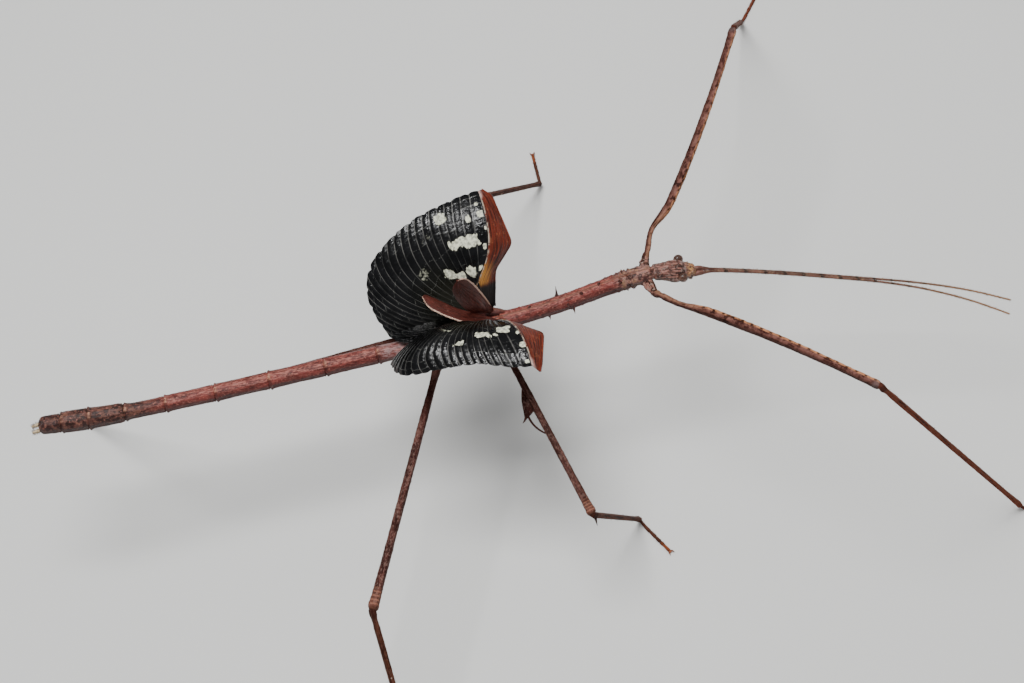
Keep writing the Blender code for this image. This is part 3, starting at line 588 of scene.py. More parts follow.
def carry(path, wide, deep, sides, up=(0.0, 0.0, 1.0), turn=1, swell=1.0):
    """Rings along a path: place + across * wide * sin(a) + over * deep * cos(a), with a from 0 at the top.

    across is up x along, turned round where turn is -1. swell multiplies each ring's radius, station by side.
    """
    along = unit(np.gradient(path, axis=0))
    across = unit(np.cross(up, along))
    over = np.cross(along, across)
    angle = circle(sides)
    wide = wide[:, None] * swell * np.sin(angle)
    deep = deep[:, None] * swell * np.cos(angle)
    return path[:, None] + (across * turn)[:, None] * wide[..., None] + over[:, None] * deep[..., None]


def cone(shape, root, lean, length, radius, marks, bend=0.0):
    """Curved spine: its radius falls as 0.06 + 0.94 (1 - t)^1.1, and it leans back by bend * t^2."""
    t = np.concatenate([[-0.25], np.linspace(0, 1, 9)])
    path = root + unit(lean) * (t * length)[:, None]
    path[:, 0] -= bend * np.clip(t, 0, 1) ** 2
    radii = radius * (0.06 + 0.94 * np.clip(1 - t, 0, 1) ** 1.1) * (1 + 0.5 * np.clip(0.15 - t, 0, 1) / 0.15)
    shape.tube(carry(path, radii, radii, 10, up=(0.93, 0.21, 0.3)), t * length, marks)


def limb(shape, points, radii, sides=14, squash=1.0, marks=(0.0, 0.0, 0.0), up=(0.1, 0.2, 1.0)):
    """Small limb: a tube by Hermite curves through the points and the radii, with both ends rounded."""
    points = np.asarray(points, float)
    run = run_of(points)
    at = run[-1] * (0.5 - 0.5 * np.cos(np.linspace(0, np.pi, 26)))
    path = triple(*(through(run, points[:, k], at) for k in range(3)))
    widths = through(run, radii, at)
    widths = widths * rounded(-np.minimum(at, run[-1] - at) / np.maximum(widths, 1e-3), -1, 1, 0.02)
    shape.tube(carry(path, widths, widths * squash, sides, up=up), at, marks)


def run_of(path):
    """Distance along a path at each of its points."""
    return np.concatenate([[0], np.cumsum(np.linalg.norm(np.diff(path, axis=0), axis=1))])


# The body's line


def axis_points(xs):
    """Places on the body's middle line."""
    xs = np.asarray(xs, float)
    return triple(xs, 0.0, through(AXIS_X, AXIS_Z, xs))


def joints():
    """Distances ahead of the wing root of the edges between segments, from the neck back to the tail."""
    return NECK_X - np.concatenate([[0.0], np.cumsum([segment[0] for segment in SEGMENTS])])


def body_half(xs):
    """Half width along the body: in each segment a Hermite curve through its three widths."""
    edges = joints()
    halves = np.where(xs > edges[0], SEGMENTS[0][1] / 2, 0.0)
    for (length, front, middle, rear), start in zip(SEGMENTS, edges):
        share = np.clip((start - xs) / length, 0, 1)
        widths = (front, (front + 2 * middle) / 3, middle, (rear + 2 * middle) / 3, rear)
        inside = (xs <= start) & (xs > start - length)
        halves = np.where(inside, through((0.0, 0.12, 0.5, 0.88, 1.0), widths, share) / 2, halves)
    return np.where(xs <= edges[-1], SEGMENTS[-1][3] / 2, halves)


def body_skin(settings):
    """The whole trunk as one tube: half width, times grooves at the joints, keels, wrinkles and grains.

    A groove is -depth * bell at its joint, and the rear edge of each segment stands up just ahead of it.
    """
    edges = joints()
    # Rings stand closer at the joints and at both ends.
    xs = [edge + np.linspace(-0.5, 0.5, 21) for edge in edges[1:-1]]
    xs += [np.linspace(NECK_X, edges[-1], 640), edges[-1] - np.array([0.0, 0.12, 0.2, 0.26, 0.3])]
    xs += [np.linspace(NECK_X + 0.9, NECK_X, 10)]
    xs = np.unique(np.round(np.concatenate(xs), 4))[::-1]
    half = body_half(xs)
    half = half * (1 - 0.26 * ease(xs, NECK_X - 0.5, NECK_X + 0.15))
    half = half * rounded(-xs, -edges[-1] - 0.35, 0.66, 0.004, 2.2)
    offset = xs[:, None] - edges[None, 1:-1]
    groove = settings.groove / MM
    step = 0.8 * bell(offset, 0.22, 0.16) - 1.3 * bell(offset, -0.06, 0.09) - 0.35 * bell(offset, -0.4, 0.12)
    step = groove * step.sum(axis=1)[:, None]
    thorax = (ease(xs, -7.5, -2.0) * (1 - ease(xs, 23.0, 23.6)))[:, None]
    fore = ease(xs, 16.5, 18.5)[:, None]
    # The back carries a fine middle keel and a pair of weaker ones, and each side a fold.
    around = either_way(circle(settings.sides))
    keel = 0.05 * bell(around, 0, 0.11) + 0.03 * twins(around, 0.62, 0.12)
    fold = 0.055 * twins(around, 1.75, 0.13) - 0.03 * twins(around, 1.5, 0.12)
    flat = -0.05 * twins(around, np.pi, 0.5)
    base = carry(axis_points(xs), half, half * 0.96, settings.sides, turn=-1)
    run = base * (0.28, 1.0, 1.0)
    wrinkle = (0.032 * layers(run, 0.42, 3) + 0.024 * layers(base, 0.9, 9, 2)) * (1 + 1.7 * fore)
    hips = 0.26 * bell(xs, 22.6, 0.7)[:, None] * twins(around, 1.7, 0.6)
    rings = 0.012 * np.sin(xs * 2 * np.pi / 0.42 + 1.2 * np.sin(xs * 0.9))[:, None]
    rings = rings * ease(-np.abs(around), -2.2, -0.3) * (1 - ease(xs, -6.5, -5.0))[:, None]
    bumps = np.clip(layers(base, 0.3, 21, 2) - 0.42, 0, 1) * settings.granules / MM * 2.2
    high = step + keel + fold + flat + wrinkle + hips + rings + bumps * (0.25 + 0.75 * thorax + 1.5 * fore)
    swell = 1 + high / half[:, None].clip(0.4)
    grid = carry(axis_points(xs), half, half * 0.96, settings.sides, turn=-1, swell=swell)
    grid[..., 0] += 0.4 * bell(around, 0, 0.55) * (1 - ease(xs, edges[-1], edges[-1] + 0.6))[:, None]
    closeness = bell(offset[:, 2:], 0.16, 0.26).sum(axis=1)[:, None]
    shape = Shape()
    shape.tube(grid, xs, (closeness, thorax, bumps * 6))
    for side in (-1, 1):
        hinge = [axis_points(x) + (0, side * out, rise) for x, out, rise in SHOULDER]
        limb(shape, hinge, SHOULDER_RADII, 20, marks=(0, 1, 1.2))
    for x, degrees, length in THORAX_SPINES:
        turn = math.radians(degrees)
        out = np.array([0.0, math.sin(turn), math.cos(turn)])
        broad, dusk = (0.24, 2.5) if length > 1 else (0.1 + 0.15 * length, 0.9)
        root = axis_points(x) + out * body_half(x) * 0.97
        cone(shape, root, out + (0.15, 0, 0), length, broad, (0, 1, dusk), bend=0.1)
    return shape


# Head


def head_half(share):
    """Half width of the head at a share of its length from the neck."""
    return through(HEAD_SHARES, HEAD_HALVES, share)


def head_skin(settings):
    """The head's shell: half width along it, with brows, a furrow down the crown, cheeks and grains.

    The sockets are hollows of depth 0.16 * exp(-(distance / radius)^4) round each eye, each with a low rim.
    """
    share = np.concatenate([np.linspace(0, 0.94, 96), 1 - 0.06 * np.cos(np.linspace(0, np.pi / 2, 14))])
    share = np.unique(share)[:, None]
    xs = NECK_X + 0.15 + share[:, 0] * (HEAD_LENGTH - 0.35)
    half = head_half(share) * rounded(share, 0.93, 0.072, 0.01, 2.6) * rounded(-share, -0.05, 0.052, 0.3, 3)
    deep = half * (0.9 + 0.08 * bell(share, 0.5, 0.3))
    around = either_way(circle(settings.sides))

    def shell(swell=1.0):
        return carry(axis_points(xs), half[:, 0], deep[:, 0], settings.sides, turn=-1, swell=swell)

    base = shell()
    high = -0.035 * bell(around, 0, 0.07) * ease(share, 0.05, 0.2) * (1 - ease(share, 0.6, 0.7))
    stripes = 0.03 * np.cos(around * 9) * ease(share, 0.02, 0.15) * (1 - ease(share, 0.5, 0.62))
    high = high + stripes * bell(around, 0, 1.5)
    for height, turn, width, place, length in HEAD_KNOBS:
        high = high + height * twins(around, turn, width) * bell(share, place, length)
    bumps = np.clip(layers(base, 0.24, 41, 2) - 0.35, 0, 1) * (0.1 + 0.14 * ease(share, 0.6, 0.75))
    high = high + bumps + 0.03 * layers(base, 0.5, 33, 3)
    for side in (-1, 1):
        gap = np.linalg.norm(base - eye_centre(side), axis=-1)
        high = high + 0.03 * bell(gap, EYE_RADIUS + 0.16, 0.12) - 0.16 * np.exp(-((gap / EYE_RADIUS) ** 4))
    glow = ease(share, 0.68, 0.8) * ease(np.cos(around), -0.4, 0.4)
    shape = Shape()
    shape.tube(shell(1 + high / half.clip(0.5)), xs, (share, glow, bumps * 8))
    # Lip, jaws and two pairs of palps, under the front of the head.
    chin = axis_points(CHIN_X)
    limb(shape, chin + np.array(LIP), LIP_RADII, squash=0.45, marks=(0.9, 0.4, 0.2), up=(1, 0, 0))
    for side in (-1, 1):
        for places, radii, sides, redness in JAWS_AND_PALPS:
            limb(shape, chin + np.array(places) * (1, side, 1), radii, sides, marks=(0.8, redness, 0))
    return shape


def eye_centre(side):
    """An eye's middle: EYE_SIDE outwards and EYE_RISE up from the body's line."""
    return axis_points(EYE_X) + (0, side * EYE_SIDE, EYE_RISE)


def eyes_shape():
    """Two globes: place = centre + r (cos p, sin p cos q, sin p sin q), a little longer than wide."""
    shape = Shape()
    p = np.linspace(0.03, np.pi - 0.03, 44)[:, None]
    q = circle(56)
    for side in (-1, 1):
        x = np.cos(p) * (EYE_RADIUS + 0.04)
        grid = triple(x, np.sin(p) * np.cos(q) * EYE_RADIUS, np.sin(p) * np.sin(q) * EYE_RADIUS)
        shape.rings(grid + eye_centre(side), triple(p, q, side), grid / EYE_RADIUS)
    return shape


# Feelers


def feeler_path(side, share):
    """The feeler's line: reach * t forward, swing * t^1.3 sideways and droop * t^1.1 down.

    The two are kept apart, a sag through seven heights is added, and a share below 0 runs into the head.
    """
    root = axis_points(NECK_X + HEAD_LENGTH) + (0.18, 0, 0.1)
    t = np.clip(share, 0, 1)
    settle = np.clip(t / 0.16, 0, 1) ** 0.8
    part = np.clip(t * 2.2 - 1.2, 0, 1) ** 1.6
    aside = side * (0.2 + 0.22 * bell(t, 0, 0.035))
    sideways = aside - 9.6 * t**1.3 + FEELER_PART[side] * part
    down = -12.6 * t**1.1 - side * 0.13 * settle
    sag = through((0, 0.16, 0.4, 0.55, 0.76, 0.88, 1), (-0.2, -0.3, -0.24, -0.07, 0.34, 0.34, 0), t)
    return root + triple(FEELER_REACH[side] * share, sideways + 0.75 * sag, down + 0.7 * sag)


def feeler_shape(side, settings):
    """Scape and thread: the thread's radius swells by 12 % at its joints, which come 3.1 to 2.2 mm apart."""
    share = np.linspace(-0.024, 1, 1300)
    path = feeler_path(side, share)
    run = run_of(path)
    width = settings.feeler / MM / 2
    offset = run[:, None] - (2.0 + np.cumsum(np.linspace(3.1, 2.2, 17)))
    ring = bell(offset, 0, 0.22).sum(axis=1)
    pinch = bell(offset, 0.18, 0.08).sum(axis=1)
    radii = width * (1 - 0.45 * np.clip(share, 0, 1) ** 1.2) * (1 + 0.12 * ring - 0.16 * pinch)
    scape = through((0.0, 0.7, 1.2, 1.7, 2.1, 2.6), (0.36, 0.42, 0.4, 0.34, 0.27, width), run)
    radii = np.where(run < 2.6, scape * (1 - 0.16 * bell(run, 1.75, 0.07)), radii)
    radii = radii * rounded(share, 0.992, 0.008, 0.03)
    grid = carry(path, radii, radii, 16)
    grid += 0.012 * layers(grid, 0.2, 5, 2)[..., None] * unit(grid - path[:, None])
    shape = Shape()
    shape.tube(grid, run, (ring[:, None], share[:, None], 0))
    return shape


# Wings


def fan_ray(side, ray, reach):
    """Places on the fan: each ray is an arc over its chord, of half bend b, leaving at slope + b.

    run = chord (sin(slope + b) - sin(slope + b(1 - 2t))) / 2 sin b, and rise the same with cosines.
    """
    rays, reaches, first_rise, power, bows, dent = FANS[side]
    outward = through(rays, reaches, ray)
    behind = np.clip(ray / WING_SIDE_RAY, 0, 1)
    lift = first_rise * (1 - behind**power)
    slope = np.arctan2(lift, outward)
    bow = np.radians(bows[0] + (bows[1] - bows[0]) * behind)
    chord = np.hypot(outward, lift) / (2 * np.sin(bow))
    start, here = slope + bow, slope + bow * (1 - 2 * reach)
    run = chord * (np.sin(start) - np.sin(here)) + WING_ROOT_ARC
    rise = chord * (np.cos(here) - np.cos(start))
    turn = np.radians(ray)
    front = 1 - np.clip((ray - WING_FIRST_RAY) / 30, 0, 1)
    bulge = WING_FRONT_BULGE * np.sin(np.pi * np.clip(reach, 0, 1) ** 1.3) * front**2
    bulge = bulge - dent * bell(reach, 0.2, 0.2) * ease(reach, 0, 0.12) * front**1.5
    return triple(bulge - run * np.sin(turn), run * np.cos(turn), rise)


def wing_place(places, side):
    """Moves places on the left wing, taken from its root, to the wing of this side."""
    root = axis_points(WING_ROOT_X) + (0, WING_ROOT_SIDE, WING_ROOT_RISE)
    skew = places[..., 1] * side * WING_SKEW
    return (places + root) * np.array([1, side, 1]) - skew[..., None] * np.array([1, 0, 0])


def fan_shape(side, settings):
    """The fan: place + normal * (panel + vein + cross veins + crumple).

    A panel between two veins is gently domed: height * (|sin(pi u)|^0.75 - 0.6) at share u between them.
    """
    spread = FANS[side][0][-1] - WING_FIRST_RAY
    veins = round(settings.veins * spread / WING_FULL_SPREAD)
    even = np.linspace(0, 1, veins * VEIN_COLUMNS + 1)[None, :]
    round_share = even * (1 + WING_CROWDING - WING_CROWDING * even)
    reach = np.concatenate([np.linspace(0.0, 0.9, 118), np.linspace(0.905, 1, 20)])[:, None]
    # A vein leaves the root further back than it ends: 1 - (1 - s)^m, where m falls to 1 at the margin.
    power = 1 + VEIN_BEND * (1 - reach)
    bent = round_share + VEIN_PULL * (1 - (1 - round_share) ** power - round_share)
    room = np.clip(1 + VEIN_PULL * (power * (1 - round_share) ** (power - 1) - 1), 0.15, 1) ** 0.8
    place_in = even * veins
    u = place_in % 1
    to_vein = np.minimum(u, 1 - u)
    panel = np.abs(np.sin(np.pi * u)) ** 0.75 - 0.6
    uneven = 0.25 * grain(triple(place_in * 0.3, 0, side), 1.0, 4)
    notch = bell(np.abs((place_in / 2 + uneven) % 1 - 0.5), 0, 0.1)
    margin = 1 - (0.012 * notch + 0.004 * grain(triple(place_in * 1.7, 0, side), 1.0, 7)) * reach**8
    middle = fan_ray(side, WING_FIRST_RAY + spread * bent, reach * margin)
    normals = facing_up(middle)
    fade = ease(reach, 0.02, 0.3)
    height = settings.pleat / MM * panel * (0.35 + 0.65 * reach) * fade * room
    vein = bell(to_vein, 0, 0.07) * fade
    where = triple(round_share * 60.0, reach * 15.0, side)
    drift = 0.5 * grain(where, 3.0, 2)
    cross = sum(bell(reach * 40 + drift * (0.6 if at > 0.88 else 2.2), at * 40, 0.16) for at in CROSS_VEINS)
    jog = 0.6 * grain(triple(np.floor(place_in) * 3.7, 0, side), 1.0, 8)
    short = sum(bell(reach * 40 + 6 * jog, at * 40, 0.15) for at in SHORT_CROSS_VEINS)
    crossing = np.clip(cross + 0.7 * short, 0, 1) * fade
    calm = fade * (1 - 0.75 * ease(bent, 0.45, 0.85)) * (1 - 0.4 * ease(reach, 0.85, 1.0))
    crumple = (0.02 * layers(middle, 1.1, 12, 1) + 0.017 * layers(middle, 0.5, 17, 1)) * calm
    middle = middle + normals * (height + 0.06 * vein * room + 0.04 * crossing + crumple)[..., None]
    cream = np.zeros(bent.shape)
    ragged = 0.5 * layers(where * (1.0, 1.6, 1.0), 1.5, 26, 3) + 0.18 * bell(to_vein, 0, 0.1)
    scale = spread / PATCH_SPREAD[side]
    for place, out, wide, tall, strength in CREAM_PATCHES[side]:
        gap = ((np.abs(bent * scale - place) / wide) ** 3 + (np.abs(reach - out) / tall) ** 3) ** (1 / 3)
        cream = np.maximum(cream, strength * (1 - ease(gap + ragged, 0.85, 1.1)))
    thick = settings.thickness / MM * (1 - 0.45 * ease(reach, 0.97, 1.0))
    marks = triple(cream, crossing, panel + 0.6)
    shape = Shape()
    shape.sheet(wing_place(middle, side), thick, triple(bent, reach, vein), marks)
    return shape


def remigium_shape(side):
    """The stiff front plate: a blend from the fan's first ray to the leading edge, with veins as ridges.

    The leading edge's corners are softened by the mean of seven places.
    """
    shares = np.linspace(0, 1, 110)
    along = shares[:, None]
    across = np.linspace(0, 1, 49)[None, :]
    inner = fan_ray(side, np.full_like(along, WING_FIRST_RAY), along)
    outer = triple(*(np.interp(shares, LEADING_MARKS, line) for line in zip(*LEADING_EDGES[side])))
    padded = np.pad(outer, ((3, 3), (0, 0)), mode="edge")
    soft = triple(*(np.convolve(line, np.ones(7) / 7, "valid") for line in padded.T))
    soft[0], soft[-1] = outer[0], outer[-1]
    middle = inner * (1 - across[..., None]) + soft[:, None] * across[..., None]
    crown = PLATE_CROWN[side] * np.sin(np.pi * across) * np.sin(np.pi * along**0.8)
    fan_out = across * 9 + 0.5 * np.sin(along * 5) * across * (1 - across) * 3
    ridge = 0.07 * np.abs(np.cos(np.pi * fan_out)) ** 8 * ease(along, 0.03, 0.2)
    rim = 0.16 * ease(across, 0.93, 1.0)
    net = 0.022 * layers(triple(along * 30, across * 8, 1.0), 0.8, 15, 2)
    middle = middle + facing_up(middle) * (crown + ridge + rim + net)[..., None]
    thick = 0.2 + 0.12 * ease(across, 0.85, 1.0) - 0.08 * ease(along, 0.9, 1.0)
    tip = ease(along, 0.8, 1.0) * (1 - across)
    shape = Shape()
    shape.sheet(wing_place(middle, side), thick, triple(along, across, ridge * 10), triple(tip, 0.0, rim * 6))
    return shape


def tegmen_shape(name):
    """A leaf-shaped forewing: breadth -lower + (upper + lower)(s + 1) / 2, cupped by s^2, with veins."""
    start, length, heading, rise, broad, above, below = TEGMINA[name]
    side = 1 if name == "tegmen_left" else -1
    along = np.linspace(0, 1, 120)[:, None]
    across = np.linspace(-1, 1, 61)[None, :]
    outer = across * side
    upper, lower = (through(TEGMEN_MARKS, widths, along) for widths in (above, below))
    half = np.maximum(upper + lower, 0.04) / 2
    axis = direction(heading, rise)
    breadth = unit(np.array(broad) - axis * (np.array(broad) @ axis))
    root = axis_points(start[0]) + (0, start[1], start[2])
    hump = 0.55 * np.exp(-(((along - 0.3) / 0.16) ** 2) - ((across - 0.1) / 0.4) ** 2)
    spread = np.sin(np.pi * along**0.8)
    wave = 0.1 * np.sin(along * 6)
    veins = sum(bell(across, at * spread + wave, 0.05) for at in (-0.62, -0.3, 0.02, 0.34, 0.66))
    net = np.abs(layers(triple(along * 22, across * 5, 2.0), 0.9, 61, 2))
    lift = 0.35 * across**2 * half / 1.65 - hump * side + 0.06 * veins - 0.03 * bell(net, 0, 0.12)
    aside = across * half + (upper - lower) / 2
    middle = root + axis * (along * length)[..., None] + breadth * aside[..., None]
    middle = middle + np.cross(axis, breadth) * lift[..., None]
    margin = ease(outer, 0.8, 0.93) * ease(along, 0.03, 0.15)
    shape = Shape()
    thick = 0.2 + 0.14 * ease(outer, 0.9, 1.0)
    shape.sheet(middle, thick, triple(along, outer, veins), triple(margin, bell(net, 0, 0.1), hump))
    return shape


# Legs


def kind_of(leg):
    """foreleg, midleg or hindleg."""
    return leg.split("_")[0]


def leg_points(name):
    """Hip, end of the coxa, knee, ankle and toe of a leg, as its lengths and headings give them."""
    hip_x, drop, side, femur, heading, rise, tibia, shin_heading, tarsus, foot_heading = LEGS[name]
    hip = axis_points(hip_x) + (0, side * (body_half(hip_x) + HIP_GAP), -drop)
    socket = hip + unit(direction(heading, 0) * 0.8 + (0, side, -0.35)) * COXA_LENGTH
    knee = socket + direction(heading, rise) * femur
    fall = (ANKLE_HEIGHT + FLOOR - knee[2]) / tibia
    ankle = knee + direction(shin_heading, math.degrees(math.asin(fall))) * tibia
    toe = ankle + direction(foot_heading, 0) * tarsus
    return hip, socket, knee, ankle, toe


def keels(sides, strength):
    """Four keels round a leg: 1 + strength * (|sin 2a|^3 - 0.35) at each angle a from the top."""
    return 1 + strength * (np.abs(np.cos(2 * circle(sides) - np.pi / 2)) ** 3 - 0.35)


def femur_line(name, share):
    """The thigh's middle line: straight from socket to knee, a fore one bowed forward by bow * sin(pi t)."""
    _, socket, knee, _, _ = leg_points(name)
    way = unit(knee - socket)
    line = socket + (knee - socket) * share[:, None]
    if name not in FORE_DIP:
        return line
    bow = FORE_BOW * np.sin(np.pi * share) - FORE_DIP[name] * bell(share, 0.12, 0.07)
    return line + unit(np.array([1.0, 0, 0]) - way * way[0]) * bow[:, None]


def leg_shape(name, settings):
    """One leg: hip joint, thigh, shin and foot, each a tube with keels, grains and its own swellings."""
    kind, side, sides = kind_of(name), LEGS[name][2], settings.sides
    hip, socket, knee, ankle, toe = leg_points(name)
    shape = Shape()
    # The hip joint tapers to the ring that carries the thigh.
    t = np.linspace(0, 1, 26)
    path = hip + (socket - hip) * (t * 2.0 - 0.9)[:, None]
    radii = through((0, 0.3, 0.6, 0.85, 1.0), (0.85, 0.85, 0.76, 0.6, 0.5), t)
    grid = carry(path, radii, radii, sides, up=(0.3, 0.0, 1.0), turn=-side)
    knobs = 0.04 * layers(grid, 0.4, 71, 3) + 0.24 * np.clip(layers(grid, 0.55, 74, 2) - 0.12, 0, 1)
    grid += knobs[..., None] * unit(grid - path[:, None])
    shape.tube(grid, t * 1.5 - 1.5, (-1, 0, 0.1 if kind == "foreleg" else 0.6))
    # Thigh
    length = np.linalg.norm(knee - socket)
    share = [np.linspace(0, 1, 230), np.linspace(0.93, 1, 30), np.linspace(0, 0.05, 16)]
    share = np.unique(np.concatenate(share))
    widths = through(FEMUR_MARKS, FEMUR_WIDTHS[kind], share) / 2
    widths = widths * (1 - 0.2 * bell(share, 0.03, 0.012) + 0.1 * bell(share, 0.015, 0.01))
    widths = widths + (0.3 * bell(share, 0.0, 0.055) if kind == "hindleg" else 0.0)
    widths = widths * (1 + 0.1 * bell(share, 0.975, 0.012)) * rounded(share, 0.985, 0.0155, 0.05)
    path = femur_line(name, share)
    grid = carry(path, widths, widths * 0.95, sides, turn=-side)
    swell = keels(sides, 0.2) * (1 + 0.05 * layers(grid, 0.5, 81, 3) + 0.035 * grain(grid, 1.4, 5))
    if kind == "foreleg":
        teeth = np.abs(np.sin(share * length * 2.1 + 0.7 * np.sin(share * 31))) * ease(share, 0.18, 0.26)
        swell = swell + 0.09 * teeth[:, None] * bell(either_way(circle(sides)), 0.75, 0.25)
    grid = carry(path, widths, widths * 0.95, sides, turn=-side, swell=swell)
    # The pale line of the left fore thigh lies lower than that of the right one.
    shape.tube(grid, share * length, (share[:, None], 0, 0), turn=0.45 if name == "foreleg_left" else 0.0)
    # Shin
    share = np.unique(np.concatenate([np.linspace(-0.008, 1, 220), np.linspace(0.96, 1, 20)]))
    path = knee + (ankle - knee) * share[:, None]
    widths = TIBIA_WIDTH[kind] / 2 * (1 - 0.18 * share + 0.32 * np.clip(share * 9 - 8, 0, 1) ** 1.5)
    widths = widths * (1 + 0.22 * bell(share, 0.012, 0.012) - 0.12 * bell(share, 0.045, 0.02))
    widths = widths * rounded(share, 0.985, 0.0155, 0.05)
    grid = carry(path, widths, widths, sides, up=(0.35, 0.2, 1.0), turn=-side)
    swell = keels(sides, 0.24) * (1 + 0.05 * layers(grid, 0.45, 91, 3))
    grid = carry(path, widths, widths, sides, up=(0.35, 0.2, 1.0), turn=-side, swell=swell)
    shape.tube(grid, share * np.linalg.norm(ankle - knee), (share[:, None], 1, 0))
    foot(shape, unit(ankle - knee), ankle, toe, TIBIA_WIDTH[kind], max(14, sides // 2))
    if kind == "midleg":
        lobe(shape, name)
        lean = np.array([0, side * 0.85, -0.53])
        root = knee + (ankle - knee) * 0.04
        cone(shape, root + lean * 0.2, lean, 1.45, 0.28, (0, 1, 1))
        cone(shape, root + (ankle - knee) * 0.32 + lean * 0.25, lean, 0.35, 0.1, (0, 1, 1))
    return shape


def foot(shape, shin_way, ankle, toe, tibia_width, sides):
    """Five joints of a foot, each of radius 0.3 (0.76 + 0.28 t^1.3), whose pads lie flat on the floor."""
    way = unit(toe - ankle)
    low = FLOOR + FOOT_RISE
    start = ankle + way * (tibia_width * 0.15) - (0, 0, 0.2)
    reach = np.linalg.norm(toe - ankle) - 0.3
    neck = start + way * 0.12 * reach
    neck[2] = low + 0.36 * (start[2] - low)
    limb(shape, [ankle - shin_way * 0.5, ankle + (0, 0, -0.06), neck], [0.26, 0.25, 0.2], 14, marks=(0, 2, 0))
    t = np.linspace(0, 1, 22)
    radii = 0.3 * (0.76 + 0.28 * t**1.3) * rounded(t, 0.86, 0.142, 0.03) * rounded(-t, -0.08, 0.082, 0.2)
    for first, last in zip(FOOT_JOINTS[:-1], FOOT_JOINTS[1:]):
        share = first + (last - first) * t * 1.02
        path = start + way * (share * reach)[:, None]
        path[:, 2] = low + np.clip(1 - share / 0.3, 0, 1) ** 2 * (start[2] - low)
        thick = radii * (0.9 if last == 1.0 else 1.0)
        grid = carry(path, thick, thick, sides)
        grid[..., 2] = np.maximum(grid[..., 2], FLOOR)
        shape.tube(grid, share * reach, (share[:, None], 2, 0))


def lobe(shape, name):
    """The thin lobe behind a middle thigh: its reach grows as t^0.9 to a spike, then a curled strand."""
    _, socket, knee, _, _ = leg_points(name)
    line = knee - socket
    rear = unit(np.cross(line, (0, 0, 1.0)))
    rear = -rear * np.sign(rear[0])
    drop = unit(np.cross(line, rear))
    t = np.linspace(0, 1, 40)[:, None]
    s = np.linspace(0, 1, 16)[None, :]
    outer = 0.35 + 2.0 * t**0.9
    place = 0.245 + 0.135 * t + 0.035 * s * ease(t, 0.4, 1.0)
    middle = socket + line * place[..., None] + rear * (outer * s)[..., None]
    middle = middle + drop * (0.12 * np.sin(np.pi * s) * t)[..., None]
    shape.sheet(middle, 0.3 - 0.2 * s, triple(s, t, t * 4), (0.3, 0, 0.3))
    for places, radii, sides, dusk in LOBE_STRANDS:
        points = [socket + line * share + rear * out for share, out in places]
        limb(shape, points, radii, sides, marks=(0.3, 0, dusk))


def claws_shape():
    """Two curved claws and a pad at the end of each foot."""
    shape = Shape()
    for name in LEGS:
        _, _, _, ankle, toe = leg_points(name)
        way = unit(toe - ankle)
        aside = unit(np.cross(way, (0, 0, 1.0)))
        tip = toe - way * 0.12
        tip[2] = FLOOR + 0.2
        for turn in (-1, 1):
            hook = tip + way * 0.35 + aside * turn * 0.3 + (0, 0, 0.14)
            end = tip + way * 0.72 + aside * turn * 0.42 + (0, 0, 0.02)
            limb(shape, [tip + aside * turn * 0.1, hook, end], [0.13, 0.1, 0.02], 10)
        pad = [tip, tip + way * 0.2 + (0, 0, 0.02), tip + way * 0.38]
        limb(shape, pad, [0.17, 0.22, 0.14], 12, marks=(1, 0, 0))
    return shape


def cercus_root(side):
    """Where a cercus starts: a little inside the last segment, 0.42 mm outwards and 0.2 mm down."""
    return axis_points(joints()[-1] + 0.4) + (0, side * 0.42, -0.2)


def cerci_shape():
    """Two short blunt feelers at the tail, curved inwards, their radius through seven widths."""
    shape = Shape()
    reach = np.linspace(-0.2, 1.9, 7)
    for side in (1, -1):
        path = cercus_root(side) + triple(-reach, side * 0.12 * np.sin(reach * 1.2), -0.16 * reach)
        limb(shape, path, [0.26, 0.29, 0.3, 0.29, 0.26, 0.2, 0.13], 24, marks=(side, 0, 0))
    return shape


# Bristles


def tube_bristles(shape, path_at, width_at, count, span, seed, length, forward, place, pale=0.0):
    """Bristles on a tube: root = line(t) + out * width(t), leaning out and forward along the tube."""
    chance = np.random.RandomState(seed).rand(count, 4)
    chance = chance[np.argsort(span[0] + (span[1] - span[0]) * chance[:, 0])]
    t = span[0] + (span[1] - span[0]) * chance[:, 0]
    turn = chance[:, 1] * 2 * np.pi
    path = path_at(t)
    along = unit(path_at(t + 1e-3) - path)
    across = unit(np.cross((0.0, 0.0, 1.0), along))
    out = across * np.sin(turn)[:, None] + np.cross(along, across) * np.cos(turn)[:, None]
    roots = path + out * width_at(t)[:, None] * 0.94
    leans = out + along * forward * (0.6 + 0.8 * chance[:, 2:3])
    flat = np.stack([place[0] + 0.45 * t, place[1] + turn / (2 * np.pi) * 0.12], axis=1)
    shape.bristles(roots, leans, length * (0.5 + chance[:, 3]), 0.012 + 0.014 * chance[:, 2], pale, flat)


def straight(start, end):
    """A line between two places, as a function of the share of the way."""
    return lambda t: start + (end - start) * t[:, None]


